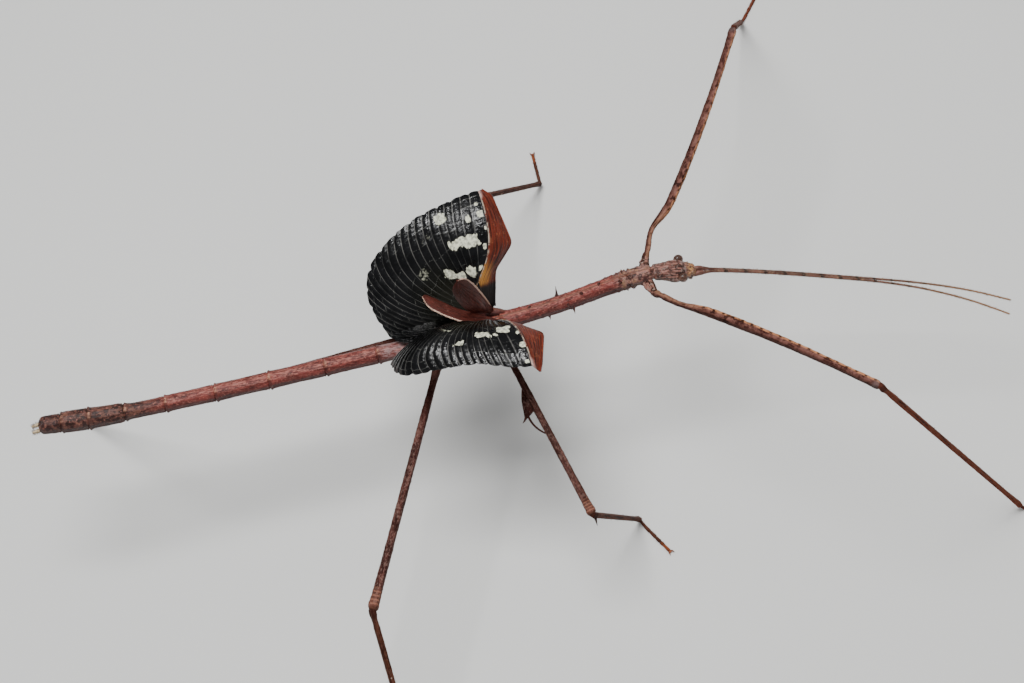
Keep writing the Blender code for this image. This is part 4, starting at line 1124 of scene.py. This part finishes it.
def bristles_shape(settings):
    """Fine hairs on the feelers, legs, feet, cerci and head."""
    shape = Shape()
    size = settings.bristle / MM
    feeler = settings.feeler / MM / 2
    for side, place in ((1, (0.02, 0.02)), (-1, (0.02, 0.16))):
        line = partial(feeler_path, side)
        width = lambda t: feeler * (1 - 0.48 * t**1.2)
        tube_bristles(shape, line, width, 2600, (0.05, 0.995), 11 + side, 0.24, 0.75, place, 1.0)
    for number, name in enumerate(LEGS):
        kind = kind_of(name)
        _, _, knee, ankle, toe = leg_points(name)
        # A thigh's bristles, then a shin's and a foot's.
        line = partial(femur_line, name)
        width = lambda t: through(FEMUR_MARKS, FEMUR_WIDTHS[kind], t) / 2
        place = (0.02, 0.3 + 0.1 * number)
        tube_bristles(shape, line, width, 700, (0.03, 0.97), 31 + number, size * 0.7, 0.9, place)
        line = straight(knee, ankle)
        width = lambda t: TIBIA_WIDTH[kind] / 2 * (1 - 0.18 * t)
        place = (0.5, 0.3 + 0.1 * number)
        tube_bristles(shape, line, width, SHIN_BRISTLES[kind], (0.02, 0.99), 51 + number, size, 0.8, place)
        line = straight(*(point * (1, 1, 0) + (0, 0, FLOOR + 0.22) for point in (ankle, toe)))
        width = lambda t: 0.26 + 0 * t
        place = (0.5, 0.02 + 0.04 * number)
        tube_bristles(shape, line, width, 160, (0.3, 1.0), 71 + number, size * 0.7, 0.9, place)
    for side in (1, -1):
        line = lambda t: cercus_root(side) + triple(-1.8 * t, side * 0.12 * np.sin(2.6 * t), -0.35 * t)
        width = lambda t: 0.3 - 0.1 * t
        place = (0.9, 0.05 + 0.2 * (side + 1))
        tube_bristles(shape, line, width, 240, (0.2, 1.0), 91 + side, 0.35, 0.5, place)
    line = lambda t: axis_points(NECK_X + 0.2 + t * (HEAD_LENGTH - 0.6))
    width = lambda t: head_half(t) * 0.96
    tube_bristles(shape, line, width, 420, (0.05, 0.97), 101, 0.16, 0.5, (0.9, 0.6))
    return shape


def resting(shape):
    """Lifts any point that is below the floor up to it."""
    shape.points = [np.maximum(points, (-np.inf, -np.inf, FLOOR)) for points in shape.points]
    return shape


# Finishes


class Wire:
    """A socket in a finish, so that maths on it reads as an expression. Each operator adds its Math node."""

    def __init__(self, finish, socket):
        self.finish = finish
        self.socket = socket

    def __add__(self, other):
        return self.finish.maths("ADD", self, other)

    def __mul__(self, other):
        return self.finish.maths("MULTIPLY", self, other)

    __radd__ = __add__
    __rmul__ = __mul__

    def __sub__(self, other):
        return self.finish.maths("SUBTRACT", self, other)

    def __rsub__(self, other):
        return self.finish.maths("SUBTRACT", other, self)

    def __abs__(self):
        return self.finish.maths("ABSOLUTE", self)

    def below(self, other):
        return self.finish.maths("MINIMUM", self, other)

    def sine(self):
        return self.finish.maths("SINE", self)

    def step(self, low, high):
        """Smooth step from 0 at low to 1 at high."""
        settings = {"interpolation_type": "SMOOTHSTEP", "clamp": True}
        inputs = {"Value": self, "From Min": low, "From Max": high}
        return self.finish.node("ShaderNodeMapRange", settings, inputs)


class Tone(tuple):
    """A colour, made darker or lighter by multiplying it."""

    def __mul__(self, share):
        return Tone(min(1.0, channel * share) for channel in self)


class Finish:
    """A material under construction: one Principled shader and the nodes that feed it."""

    def __init__(self, name, **constants):
        self.made = bpy.data.materials.new(name)
        self.made.use_nodes = True
        self.tree = self.made.node_tree
        self.shader = self.tree.nodes["Principled BSDF"]
        self.place = self.node("ShaderNodeTexCoord", {}, {}, "Object")
        for label, value in constants.items():
            self.shader.inputs[label.replace("_", " ")].default_value = value

    def node(self, kind, settings, inputs, output=0):
        """Adds a node of this type, sets its settings, feeds its sockets, and gives one output."""
        made = self.tree.nodes.new(kind)
        for label, value in settings.items():
            setattr(made, label, value)
        for label, value in inputs.items():
            self.feed(made.inputs[label], value)
        return Wire(self, made.outputs[output])

    def feed(self, socket, value):
        """Links a wire to a socket, or sets the socket to a plain value."""
        if isinstance(value, Wire):
            self.tree.links.new(value.socket, socket)
        else:
            socket.default_value = value

    def maths(self, operation, *values):
        """One Math node on plain values or wires."""
        return self.node("ShaderNodeMath", {"operation": operation}, dict(enumerate(values)))

    def read(self, label):
        """The three parts of a point attribute."""
        whole = self.node("ShaderNodeAttribute", {"attribute_name": label}, {}, "Vector")
        split = self.node("ShaderNodeSeparateXYZ", {}, {"Vector": whole})
        return [Wire(self, split.socket.node.outputs[k]) for k in range(3)]

    def noise(self, scale, detail=4.0, roughness=0.55, place=None):
        """Layered noise, over the object's own coordinates in metres if no other place is given."""
        inputs = {"Vector": place or self.place, "Scale": scale, "Detail": detail, "Roughness": roughness}
        return self.node("ShaderNodeTexNoise", {}, inputs)

    def strands(self, lie, stretch, *noise):
        """Noise over a surface's lie, each part of which is multiplied by its stretch."""
        parts = {k: part * share for k, (part, share) in enumerate(zip(lie, stretch))}
        return self.noise(*noise, place=self.node("ShaderNodeCombineXYZ", {}, parts))

    def cells(self, scale):
        """Distance to the nearest of many scattered points."""
        return self.node("ShaderNodeTexVoronoi", {}, {"Vector": self.place, "Scale": scale}, "Distance")

    def mix(self, factor, first, second):
        """Blend of two colours, each a tuple or a wire."""
        first, second = ((*c, 1.0) if isinstance(c, tuple) else c for c in (first, second))
        return self.node("ShaderNodeMix", {"data_type": "RGBA"}, {0: factor, 6: first, 7: second}, 2)

    def coats(self, colour, *coats):
        """Lays coats over a colour, in order: each is its factor and its own colour."""
        for factor, over in coats:
            colour = self.mix(factor, colour, over)
        return colour

    def finish(self, colour, roughness, height=None, strength=1.0, distance=0.0001, metallic=0.0):
        """Wires the shader's colour, roughness, metal share and bump, and gives the material."""
        for label, value in (("Base Color", colour), ("Roughness", roughness), ("Metallic", metallic)):
            self.feed(self.shader.inputs[label], value)
        if height is not None:
            inputs = {"Strength": strength, "Distance": distance, "Height": height}
            self.feed(self.shader.inputs["Normal"], self.node("ShaderNodeBump", {}, inputs, "Normal"))
        return self.made


def body_finish(settings):
    """Reddish brown shell: pale and dark fibres, mottling, a pale spot at each joint and a grey pink saddle.

    The front of the thorax is greyer, and the rear of the abdomen browner and duller. A highlight is
    painted along the crest of the back, and shade on the underside, on one flank and under the wings.
    """
    f = Finish("body_chitin", IOR=1.5, Specular_IOR_Level=0.42)
    lie = side, back, along = f.read("lie")
    joint, thorax, bumps = f.read("mark")
    broad = f.strands(lie, (1.6, 1.6, 0.3), 1.0, 3.0, 0.5)
    streak = f.strands(lie, (2.6, 2.6, 0.36), 2.1, 3.0, 0.6)
    fine = f.strands(lie, (5.2, 5.2, 0.8), 1.9, 3.0, 0.6)
    mottle = f.noise(1100.0, 3.0, 0.6)
    speck = f.noise(3000.0, 2.0, 0.5)
    brown, pale, dark = Tone(settings.brown), Tone(settings.pale), Tone(settings.dark)
    # Painted highlight: the real pale streaks crowd along the crest of the back, where the light gleams.
    crest = back.step(0.72, 1.0)
    fore = along.step(17.6, 19.8)
    cloudy = (streak * 0.5 + mottle * 0.5).step(0.44, 0.57)
    fore_tone = f.mix(cloudy, (0.045, 0.022, 0.018), (0.36, 0.2, 0.16))
    rear = along.step(-49.0, -56.0)
    rear_tone = f.coats(
        (0.015, 0.007, 0.005),
        ((streak * 0.4 + mottle * 0.6).step(0.44, 0.58), (0.145, 0.059, 0.045)),
        ((fine * 0.5 + mottle * 0.5).step(0.54, 0.6) * 0.4, (0.33, 0.15, 0.08)),
    )
    tip = along.step(-66.8, -67.3)
    saddle = along.step(-11.5, -13.0) * along.step(-18.6, -17.2) * back.step(-0.3, 0.35)
    spot = joint.step(0.2, 0.7) * back.step(0.84, 0.95) * fine.step(0.42, 0.52)
    beside = joint * back.step(0.3, 0.6) * back.step(0.93, 0.8)
    # A dark line runs along the middle of the back between two rusty ones.
    middle = along.step(-13.0, -9.0) * (0.35 + 0.65 * fine.step(0.4, 0.52))
    # Painted shade: the back is darkened under the wings, where they cast their shadow.
    shade = along.step(-9.5, -7.5) * along.step(-0.5, -2.5)
    colour = f.coats(
        brown * 0.66,
        (broad.step(0.38, 0.6), brown * 1.36),
        (streak.step(0.46, 0.62) * (0.14 + (0.6 - 0.34 * thorax) * crest), pale),
        (streak.step(0.47, 0.36) * (0.42 + 0.2 * thorax), dark),
        (fine.step(0.53, 0.64) * (0.2 + 0.5 * crest), pale * 1.15),
        (fine.step(0.45, 0.34) * 0.42, dark),
        (fore * 0.75, fore_tone),
        (fore * mottle.step(0.54, 0.6) * speck.step(0.44, 0.54) * 0.55, (0.42, 0.25, 0.1)),
        (fore * mottle.step(0.47, 0.4) * 0.6, (0.04, 0.024, 0.02)),
        (rear * 0.93, rear_tone),
        (mottle.step(0.57, 0.65) * 0.4, dark),
        (speck.step(0.6, 0.68) * 0.45, pale * 1.15),
        (speck.step(0.4, 0.33) * 0.5, dark),
        (bumps.step(0.5, 1.6) * 0.85, dark * 0.5),
        (saddle * (mottle * 0.5 + fine * 0.5).step(0.4, 0.56) * 0.6, (0.38, 0.25, 0.24)),
        (beside * 0.6, dark),
        (spot * side.step(0.25, 0.0) * 0.8, (0.52, 0.27, 0.18)),
        # Painted shade: darker towards the underside and along one flank, where the light falls off.
        (back.step(0.7, 0.05) * 0.75, dark),
        (side.step(0.62, 0.95) * 0.65, dark),
        (middle * abs(side).step(0.26, 0.12) * 0.4, (0.4, 0.14, 0.08)),
        (middle * abs(side).step(0.1, 0.03) * 0.65, (0.05, 0.035, 0.028)),
        (shade * 0.5, dark * 0.7),
        (tip * (0.25 + 0.5 * mottle.step(0.52, 0.44)), dark * 0.8),
    )
    height = streak * 0.5 + fine * 0.6 + mottle * 0.4 + speck * 0.2
    return f.finish(colour, 0.3 + 0.3 * mottle, height, 0.8, 0.00014)


def head_finish(settings):
    """Purple brown shell with dark grooves and pinkish ridges, grey specks, and gold that crowds the face."""
    f = Finish("head_chitin", IOR=1.5)
    lie = _, back, _ = f.read("lie")
    share, glow, bumps = f.read("mark")
    bands = f.strands(lie, (4.2, 4.2, 0.42), 1.5, 3.0, 0.6)
    mottle = f.noise(1200.0, 3.0, 0.6)
    grit = f.noise(2600.0, 2.0, 0.5)
    golden = f.cells(3400.0).step(0.36, 0.2) * mottle.step(0.42, 0.52)
    crossing = share.step(0.56, 0.63) * share.step(0.74, 0.68)
    head, gold = Tone(settings.head), Tone(settings.gold)
    colour = f.coats(
        head * 0.42,
        (bands.step(0.4, 0.58), head * 1.7),
        (bands.step(0.53, 0.64) * 0.7, (0.46, 0.235, 0.185)),
        (mottle.step(0.48, 0.39) * 0.75, head * 0.16),
        (grit.step(0.58, 0.66) * 0.5 * (1 - glow), (0.38, 0.28, 0.24)),
        (back.step(0.1, -0.5) * 0.6, head * 0.2),
        (glow * grit.step(0.4, 0.52) * 0.6, (0.42, 0.2, 0.08)),
        (crossing * mottle.step(0.42, 0.53) * 0.5, (0.34, 0.28, 0.26)),
        (golden * (0.1 + 0.9 * glow), gold * 1.2),
        (glow * grit.step(0.46, 0.36) * 0.7, head * 0.2),
        (bumps.step(0.1, 0.5) * 0.4, (0.4, 0.28, 0.22)),
    )
    return f.finish(colour, 0.38 + 0.28 * mottle, mottle * 0.5 + bands * 0.8 + grit * 0.3, 1.0, 0.0002)


def eye_finish(settings):
    """Glossy grey brown globe, faceted by fine cells, with a darker cap."""
    f = Finish("eye_lens", IOR=1.45, Coat_Weight=0.25, Coat_Roughness=0.15)
    _, _, up = f.read("mark")
    eye = Tone(settings.eye)
    colour = f.coats(
        eye * 0.5,
        (f.noise(2600.0, 3.0).step(0.4, 0.66), eye * 1.35),
        (up.step(0.35, 0.9) * 0.55, eye * 0.25),
    )
    return f.finish(colour, 0.34, f.cells(16000.0), 0.35, 0.00004)


def limb_finish(name, settings, kind):
    """Leg shell: streaks along it, dark blotches, and on a fore thigh a thin orange line on its front."""
    f = Finish(name, IOR=1.5, Specular_IOR_Level=0.03)
    lie = front, top, along = f.read("lie")
    share, part, dusk = f.read("mark")
    streak = f.strands(lie, (1.3, 1.3, 0.3), 1.3, 3.0, 0.6)
    mottle = f.noise(800.0, 3.0, 0.6)
    speck = f.noise(2400.0, 2.0, 0.5)
    shank = part.below(1.0)
    thigh = 1 - shank
    brown = Tone(settings.brown)
    if kind == "foreleg":
        slant = front * 0.85 + top * 0.36
        line = (slant + streak * 0.35).step(0.66, 0.88) * share.step(0.14, 0.22) * thigh
        # A row of dark spots follows the orange line.
        row = slant.step(0.5, 0.66) * slant.step(0.88, 0.74)
        spots = row * (along * 3.7).sine().step(0.45, 0.85) * share.step(0.16, 0.22) * thigh
        blots = f.strands(lie, (1.0, 1.0, 0.8), 1.1, 2.0, 0.5).step(0.53, 0.6)
        upper = (front * 0.6 + top * 0.8).step(0.1, 0.7) * streak.step(0.4, 0.52)
        hip = f.coats(
            (0.03, 0.014, 0.011),
            ((streak * 0.3 + mottle * 0.7).step(0.45, 0.56), (0.4, 0.19, 0.15)),
            (speck.step(0.56, 0.64) * 0.6, (0.5, 0.36, 0.3)),
        )
        colour = f.coats(
            brown * 0.28,
            (streak.step(0.42, 0.58), (0.14, 0.058, 0.045)),
            (mottle.step(0.54, 0.63) * 0.35, (0.27, 0.15, 0.125)),
            # Painted light: the top of the fore thigh is lighter where the light falls on it.
            (thigh * top.step(0.1, 0.9) * mottle.step(0.42, 0.54) * 0.5, (0.27, 0.12, 0.095)),
            (thigh * front.step(-0.2, -0.8) * 0.5, brown * 0.22),
            (line * 0.95, Tone(settings.tan)),
            (spots * 0.9, brown * 0.14),
            (thigh * blots * (0.35 + 0.65 * share.step(0.5, 0.3)) * 0.85, brown * 0.12),
            (shank * streak.step(0.3, 0.5) * 0.85, Tone(settings.shin)),
            (upper * share.step(0.24, 0.16) * thigh * 0.6, (0.34, 0.17, 0.105)),
            (share.step(-0.2, -0.6) * 0.85, hip),
            (share.step(0.965, 0.985) * thigh * 0.45, (0.12, 0.1, 0.1)),
            (share.step(0.035, 0.012) * shank * 0.7, brown * 0.3),
        )
    else:
        dusky = brown * 0.4
        fleck = f.strands(lie, (3.0, 3.0, 1.4), 2.2, 2.0, 0.5)
        dots = f.cells(520.0).step(0.12, 0.07) * mottle.step(0.46, 0.54)
        rings = (share * 400.0).sine().step(0.1, 0.7)
        colour = f.coats(
            dusky * 0.5,
            (streak.step(0.4, 0.6), dusky * 1.5),
            ((mottle * 0.6 + speck * 0.4).step(0.53, 0.62) * 0.5, (0.2, 0.115, 0.095)),
            (streak.step(0.56, 0.63) * 0.35, (0.2, 0.1, 0.08)),
            (fleck.step(0.55, 0.64) * 0.45, (0.3, 0.19, 0.16)),
            (fleck.step(0.45, 0.37) * 0.5, dusky * 0.3),
            (share.step(0.32, 0.2) * thigh * 0.6, (0.045, 0.013, 0.01)),
            (shank * 0.7, f.mix(streak.step(0.4, 0.58), (0.035, 0.011, 0.007), (0.105, 0.034, 0.018))),
            (shank * dots * 0.7, (0.6, 0.5, 0.42)),
            (share.step(0.9, 0.94) * thigh * (0.2 + 0.5 * rings), (0.34, 0.145, 0.095)),
            (share.step(0.985, 0.994) * thigh * 0.7, brown * 0.15),
            (share.step(0.05, 0.02) * shank * 0.6, brown * 0.25),
            (part.step(1.5, 1.9) * share.step(0.7, 0.82) * 0.7, (0.34, 0.09, 0.035)),
        )
    specks = (speck.step(0.42, 0.35) * 0.5, brown * 0.15)
    colour = f.coats(colour, specks, (dusk.below(1.0) * 0.6, brown * 0.18))
    height = streak * 0.7 + mottle * 0.5 + speck * 0.3
    return f.finish(colour, 0.42 + 0.22 * mottle, height, 1.0, 0.00018)


def feeler_finish(settings):
    """Brown thread with dark rings at its joints, pale flecks and a paler orange tip."""
    f = Finish("feeler_chitin", IOR=1.5)
    _, top, along = f.read("lie")
    ring, share, _ = f.read("mark")
    mottle = f.noise(1800.0, 4.0, 0.6)
    brown = Tone(settings.feeler_brown)
    colour = f.coats(
        brown * 0.55,
        (f.strands((top, 0.0, along), (1.0, 1.0, 0.35), 1.6, 3.0).step(0.36, 0.66), brown * 1.45),
        (mottle.step(0.55, 0.7) * 0.45, (0.5, 0.36, 0.2)),
        (ring.step(0.05, 0.35) * 0.95, brown * 0.12),
        (share.step(0.55, 0.98) * 0.6, (0.46, 0.24, 0.11)),
    )
    return f.finish(colour, 0.5, mottle, 0.6, 0.00006)


def fan_finish(settings):
    """Glossy black membrane, dimpled, with cream patches, pale thin veins and faint cross veins."""
    f = Finish("wing_membrane", IOR=1.5)
    round_share, reach, vein = f.read("lie")
    cream, crossing, crest = f.read("mark")
    dimple = f.noise(2300.0, 2.0, 0.6)
    cloud = f.noise(420.0, 3.0, 0.5)
    black, pale = Tone(settings.black), Tone(settings.cream)
    patch = (cream + (dimple - 0.5) * 0.9).step(0.36, 0.62)
    line = vein.step(0.5, 0.95) * (0.25 + 0.75 * cloud.step(0.38, 0.56)) * reach.step(0.1, 0.5)
    colour = f.coats(
        black * 0.5,
        (cloud.step(0.35, 0.7), black * 2.0),
        (reach.step(0.75, 0.3) * round_share.step(0.3, 0.6) * 0.8, (0.0085, 0.0085, 0.004)),
        (patch * cream.step(0.1, 0.9), f.mix(dimple.step(0.36, 0.6), pale * 0.5, pale * 1.1)),
        (line * (0.35 + 0.45 * reach.step(0.6, 0.9)), (0.24, 0.23, 0.21)),
        (crossing.step(0.6, 0.98) * cloud.step(0.4, 0.55) * 0.5, (0.2, 0.2, 0.18)),
    )
    # The membrane is smoothest in groups on the crests of its panels.
    group = f.noise(230.0, 2.0, 0.5).step(0.4, 0.52) * crest.step(0.25, 0.8)
    roughness = 0.26 - 0.1 * group + 0.08 * dimple + 0.3 * patch + 0.3 * reach.step(0.45, 0.2)
    # The crowded rear pleats shine little: a black metal gives no plain reflection.
    quiet = round_share.step(0.8, 0.93) * reach.step(0.98, 0.9)
    return f.finish(colour, roughness, dimple * 0.8, 0.75, 0.00012, quiet * 0.9)


def remigium_finish(settings):
    """Red brown plate: dark and light strands along its veins, gold near its root, pink at its inner tip."""
    f = Finish("front_plate", IOR=1.5)
    along, across, ridge = f.read("lie")
    tip, _, _ = f.read("mark")
    strand = f.strands((along, across), (3.0, 26.0), 1.2, 4.0, 0.6)
    mottle = f.noise(1300.0, 4.0, 0.6)
    inner = (across + (strand - 0.5) * 0.6).step(0.75, 0.35)
    golden = along.step(0.2, 0.26) * (along + across * 0.08).step(0.46, 0.34) * inner
    red = Tone(settings.red)
    colour = f.coats(
        red * 0.22,
        (strand.step(0.42, 0.58), red * 1.5),
        (mottle.step(0.56, 0.68) * 0.4, (0.42, 0.14, 0.06)),
        (ridge.step(0.3, 0.65) * 0.4, red * 0.4),
        (golden * 0.9, f.mix(strand.step(0.4, 0.55), (0.22, 0.075, 0.015), (0.66, 0.3, 0.06))),
        (along.step(0.26, 0.2), (0.008, 0.006, 0.006)),
        ((tip + mottle * 0.35).step(0.6, 1.05) * 0.9, (0.72, 0.46, 0.4)),
        (across.step(0.075, 0.0) * mottle.step(0.4, 0.56) * 0.85, (0.5, 0.42, 0.33)),
    )
    return f.finish(colour, 0.42 + 0.2 * strand, strand * 0.6 + mottle * 0.5, 0.7, 0.00012)


def tegmen_finish(settings):
    """Dark red brown leather with paler veins and a cream pink margin."""
    f = Finish("forewing_leather", IOR=1.5)
    along, outer, vein = f.read("lie")
    margin, net, _ = f.read("mark")
    mottle = f.noise(1100.0, 5.0, 0.6)
    strand = f.strands((along, outer), (4.0, 9.0), 1.5, 4.0, 0.6)
    base = Tone(settings.forewing)
    colour = f.coats(
        base * 0.5,
        (strand.step(0.34, 0.66), base * 1.9),
        (vein.step(0.4, 0.9) * 0.35, base * 2.6),
        (net.step(0.4, 0.9) * 0.25, base * 0.3),
        (mottle.step(0.6, 0.74) * 0.5, (0.3, 0.15, 0.12)),
        ((margin + (mottle - 0.5) * 0.6).step(0.52, 0.86) * 0.95, (0.72, 0.48, 0.37)),
    )
    return f.finish(colour, 0.46 + 0.22 * mottle, mottle * 0.6 + strand * 0.4, 0.7, 0.00012)


def cercus_finish():
    """Cream, browner towards the root."""
    f = Finish("cercus_cream", IOR=1.5)
    _, _, along = f.read("lie")
    mottle = f.noise(1600.0, 4.0, 0.6)
    cream = (mottle.step(0.35, 0.7), (0.8, 0.66, 0.45))
    colour = f.coats((0.5, 0.36, 0.2), cream, (along.step(1.1, 0.2) * 0.6, (0.3, 0.13, 0.09)))
    return f.finish(colour, 0.45, mottle, 0.5, 0.00008)


def claw_finish():
    """Dark horn with a paler pad."""
    f = Finish("claw_horn", IOR=1.54)
    pad, _, _ = f.read("mark")
    horn = f.noise(2400.0, 3.0)
    colour = f.coats((0.1, 0.03, 0.016), (horn, (0.26, 0.08, 0.035)), (pad, (0.4, 0.13, 0.06)))
    return f.finish(colour, 0.28 + 0.2 * pad, horn, 0.3, 0.00004)


def bristle_finish():
    """Dark brown hair on the legs and tail, paler on the feelers."""
    f = Finish("bristle_hair")
    pale, _, _ = f.read("mark")
    shade = f.noise(700.0, 2.0)
    on_feelers = f.mix(shade, (0.12, 0.07, 0.045), (0.5, 0.36, 0.24))
    return f.finish(f.coats((0.04, 0.016, 0.01), (shade, (0.16, 0.08, 0.05)), (pale, on_feelers)), 0.5)


def floor_finish(settings):
    """Matt pale board with the faintest unevenness."""
    f = Finish("floor_board")
    floor = Tone(settings.floor)
    return f.finish(f.mix(f.noise(14.0), floor * 0.97, floor * 1.02), 0.7)


# Stage


def link(context, made, right, up, back, place):
    """Adds a light or camera to the scene, with its own axes turned to right, up and back."""
    columns = np.array([right, up, back, place], float).T
    made.matrix_world = Matrix([*columns.tolist(), [0, 0, 0, 1]])
    context.scene.collection.objects.link(made)


def add_floor(context, settings):
    """A square floor at the height of the feet."""
    mesh = bpy.data.meshes.new("floor")
    size = FLOOR_HALF
    corners = [(-size, -size, 0), (size, -size, 0), (size, size, 0), (-size, size, 0)]
    mesh.from_pydata(corners, [], [(0, 1, 2, 3)])
    mesh.materials.append(floor_finish(settings))
    floor = bpy.data.objects.new("floor", mesh)
    context.scene.collection.objects.link(floor)


def add_light(context, settings):
    """Square softboxes that look at the insect, and a dim pale room round them."""
    for name, place, size, field, share, unseen in SOFTBOXES:
        light = bpy.data.lights.new(name, "AREA")
        light.size = size
        light.energy = getattr(settings, field) * share
        made = bpy.data.objects.new(name, light)
        away = unit(place)
        across = unit(np.cross((0.0, 0.0, 1.0), away))
        link(context, made, across, np.cross(away, across), away, place)
        setattr(made, unseen, False)
    world = bpy.data.worlds.new("soft_room")
    world.use_nodes = True
    room = world.node_tree.nodes["Background"].inputs
    room["Color"].default_value = ROOM_COLOUR
    room["Strength"].default_value = ROOM_STRENGTH
    context.scene.world = world


def add_camera(context):
    """The photograph's view: tilted down, rolled and aimed beside the wing root."""
    tilt, roll = math.radians(CAMERA_TILT), math.radians(CAMERA_ROLL)
    over = np.array([0.0, math.sin(tilt), math.cos(tilt)])
    back = np.array([0.0, -math.cos(tilt), math.sin(tilt)])
    ahead = np.array([1.0, 0.0, 0.0])
    right = math.cos(roll) * ahead - math.sin(roll) * over
    up = math.sin(roll) * ahead + math.cos(roll) * over
    target = ORIGIN + ahead * CAMERA_AIM[0] + over * CAMERA_AIM[1]
    lens = bpy.data.cameras.new("camera")
    lens.lens, lens.sensor_width = CAMERA_LENS
    lens.clip_start, lens.clip_end = CAMERA_CLIP
    made = bpy.data.objects.new("camera", lens)
    link(context, made, right, up, back, (target + back * CAMERA_DISTANCE) * MM)
    context.scene.camera = made


# Operators


class MakeBody(bpy.types.Operator):
    """Adds the trunk's skin in one piece, from the neck to the tail"""

    bl_idname = "insect.make_body"
    bl_label = "Body"

    def execute(self, context):
        settings = context.scene.insect_body
        body_skin(settings).piece("body_skin", body_finish(settings), "body", BODY_NODES)
        return {"FINISHED"}


class MakeHead(bpy.types.Operator):
    """Adds the head with its mouthparts, and the two eyes"""

    bl_idname = "insect.make_head"
    bl_label = "Head and eyes"

    def execute(self, context):
        settings = context.scene.insect_body
        head_skin(settings).piece("head_skin", head_finish(settings), "head", ("head",))
        eyes_shape().piece("eyes", eye_finish(settings), "eye", ("eye_left", "eye_right"))
        return {"FINISHED"}


class MakeFeelers(bpy.types.Operator):
    """Adds the two jointed feelers"""

    bl_idname = "insect.make_feelers"
    bl_label = "Feelers"

    def execute(self, context):
        settings = context.scene.insect_limbs
        finish = feeler_finish(settings)
        for name, side in (("antenna_left", 1), ("antenna_right", -1)):
            feeler_shape(side, settings).piece(name + "_skin", finish, "antenna", (name,))
        return {"FINISHED"}


class MakeWings(bpy.types.Operator):
    """Adds the pleated fans, their front plates and the two forewings"""

    bl_idname = "insect.make_wings"
    bl_label = "Wings"

    def execute(self, context):
        settings = context.scene.insect_wings
        fan, plate, leather = fan_finish(settings), remigium_finish(settings), tegmen_finish(settings)
        for name, side in (("left", 1), ("right", -1)):
            fan_shape(side, settings).piece(f"fan_{name}", fan, "wing_membrane", (f"hindwing_{name}",))
            remigium_shape(side).piece(f"front_plate_{name}", plate, "remigium", (f"remigium_{name}",))
        for name in TEGMINA:
            tegmen_shape(name).piece(name + "_leaf", leather, "tegmen", (name,))
        return {"FINISHED"}


class MakeLegs(bpy.types.Operator):
    """Adds the six legs and their claws"""

    bl_idname = "insect.make_legs"
    bl_label = "Legs and claws"

    def execute(self, context):
        settings = context.scene.insect_limbs
        finishes = {kind: limb_finish(kind + "_chitin", settings, kind) for kind in FEMUR_WIDTHS}
        for name in LEGS:
            kind = kind_of(name)
            nodes = [f"{name}_{part}" for part in ("coxa", "femur", "tibia", "tarsus")]
            slot = "foreleg" if kind == "foreleg" else "leg"
            resting(leg_shape(name, settings)).piece(name + "_skin", finishes[kind], slot, nodes)
        resting(claws_shape()).piece("claws", claw_finish(), "leg")
        return {"FINISHED"}


class MakeTail(bpy.types.Operator):
    """Adds the two cream cerci at the tail"""

    bl_idname = "insect.make_tail"
    bl_label = "Cerci"

    def execute(self, context):
        cerci_shape().piece("cerci", cercus_finish(), "cercus", ("cercus_left", "cercus_right"))
        return {"FINISHED"}


class MakeBristles(bpy.types.Operator):
    """Adds the fine hairs"""

    bl_idname = "insect.make_bristles"
    bl_label = "Bristles"

    def execute(self, context):
        settings = context.scene.insect_limbs
        resting(bristles_shape(settings)).piece("bristles", bristle_finish(), "leg", bake_map=True)
        return {"FINISHED"}


class MakeStage(bpy.types.Operator):
    """Adds the pale floor, the soft lights and the camera"""

    bl_idname = "insect.make_stage"
    bl_label = "Stage"

    def execute(self, context):
        settings = context.scene.insect_stage
        add_floor(context, settings)
        add_light(context, settings)
        add_camera(context)
        return {"FINISHED"}


class InsectPanel(bpy.types.Panel):
    """Lists the insect's pieces and their settings"""

    bl_idname = "VIEW3D_PT_insect"
    bl_label = "Insect"
    bl_space_type = "VIEW_3D"
    bl_region_type = "UI"
    bl_category = "Insect"

    def draw(self, context):
        layout = self.layout
        for label in GROUPS:
            box = layout.box()
            group = getattr(context.scene, label)
            for field in group.__annotations__:
                box.prop(group, field)
        for operator in OPERATORS:
            layout.operator(operator.bl_idname)


GROUPS = {
    "insect_body": BodySettings,
    "insect_wings": WingSettings,
    "insect_limbs": LimbSettings,
    "insect_stage": StageSettings,
}
OPERATORS = (MakeStage, MakeBody, MakeHead, MakeFeelers, MakeWings, MakeLegs, MakeTail, MakeBristles)


def register():
    for made in (*GROUPS.values(), *OPERATORS, InsectPanel):
        bpy.utils.register_class(made)
    for label, group in GROUPS.items():
        setattr(bpy.types.Scene, label, PointerProperty(type=group))


def unregister():
    for label in GROUPS:
        delattr(bpy.types.Scene, label)
    for made in reversed((*GROUPS.values(), *OPERATORS, InsectPanel)):
        bpy.utils.unregister_class(made)


def main():
    register()
    bpy.ops.insect.make_stage()
    bpy.ops.insect.make_body()
    bpy.ops.insect.make_head()
    bpy.ops.insect.make_feelers()
    bpy.ops.insect.make_wings()
    bpy.ops.insect.make_legs()
    bpy.ops.insect.make_tail()
    bpy.ops.insect.make_bristles()


if __name__ == "__main__":
    main()
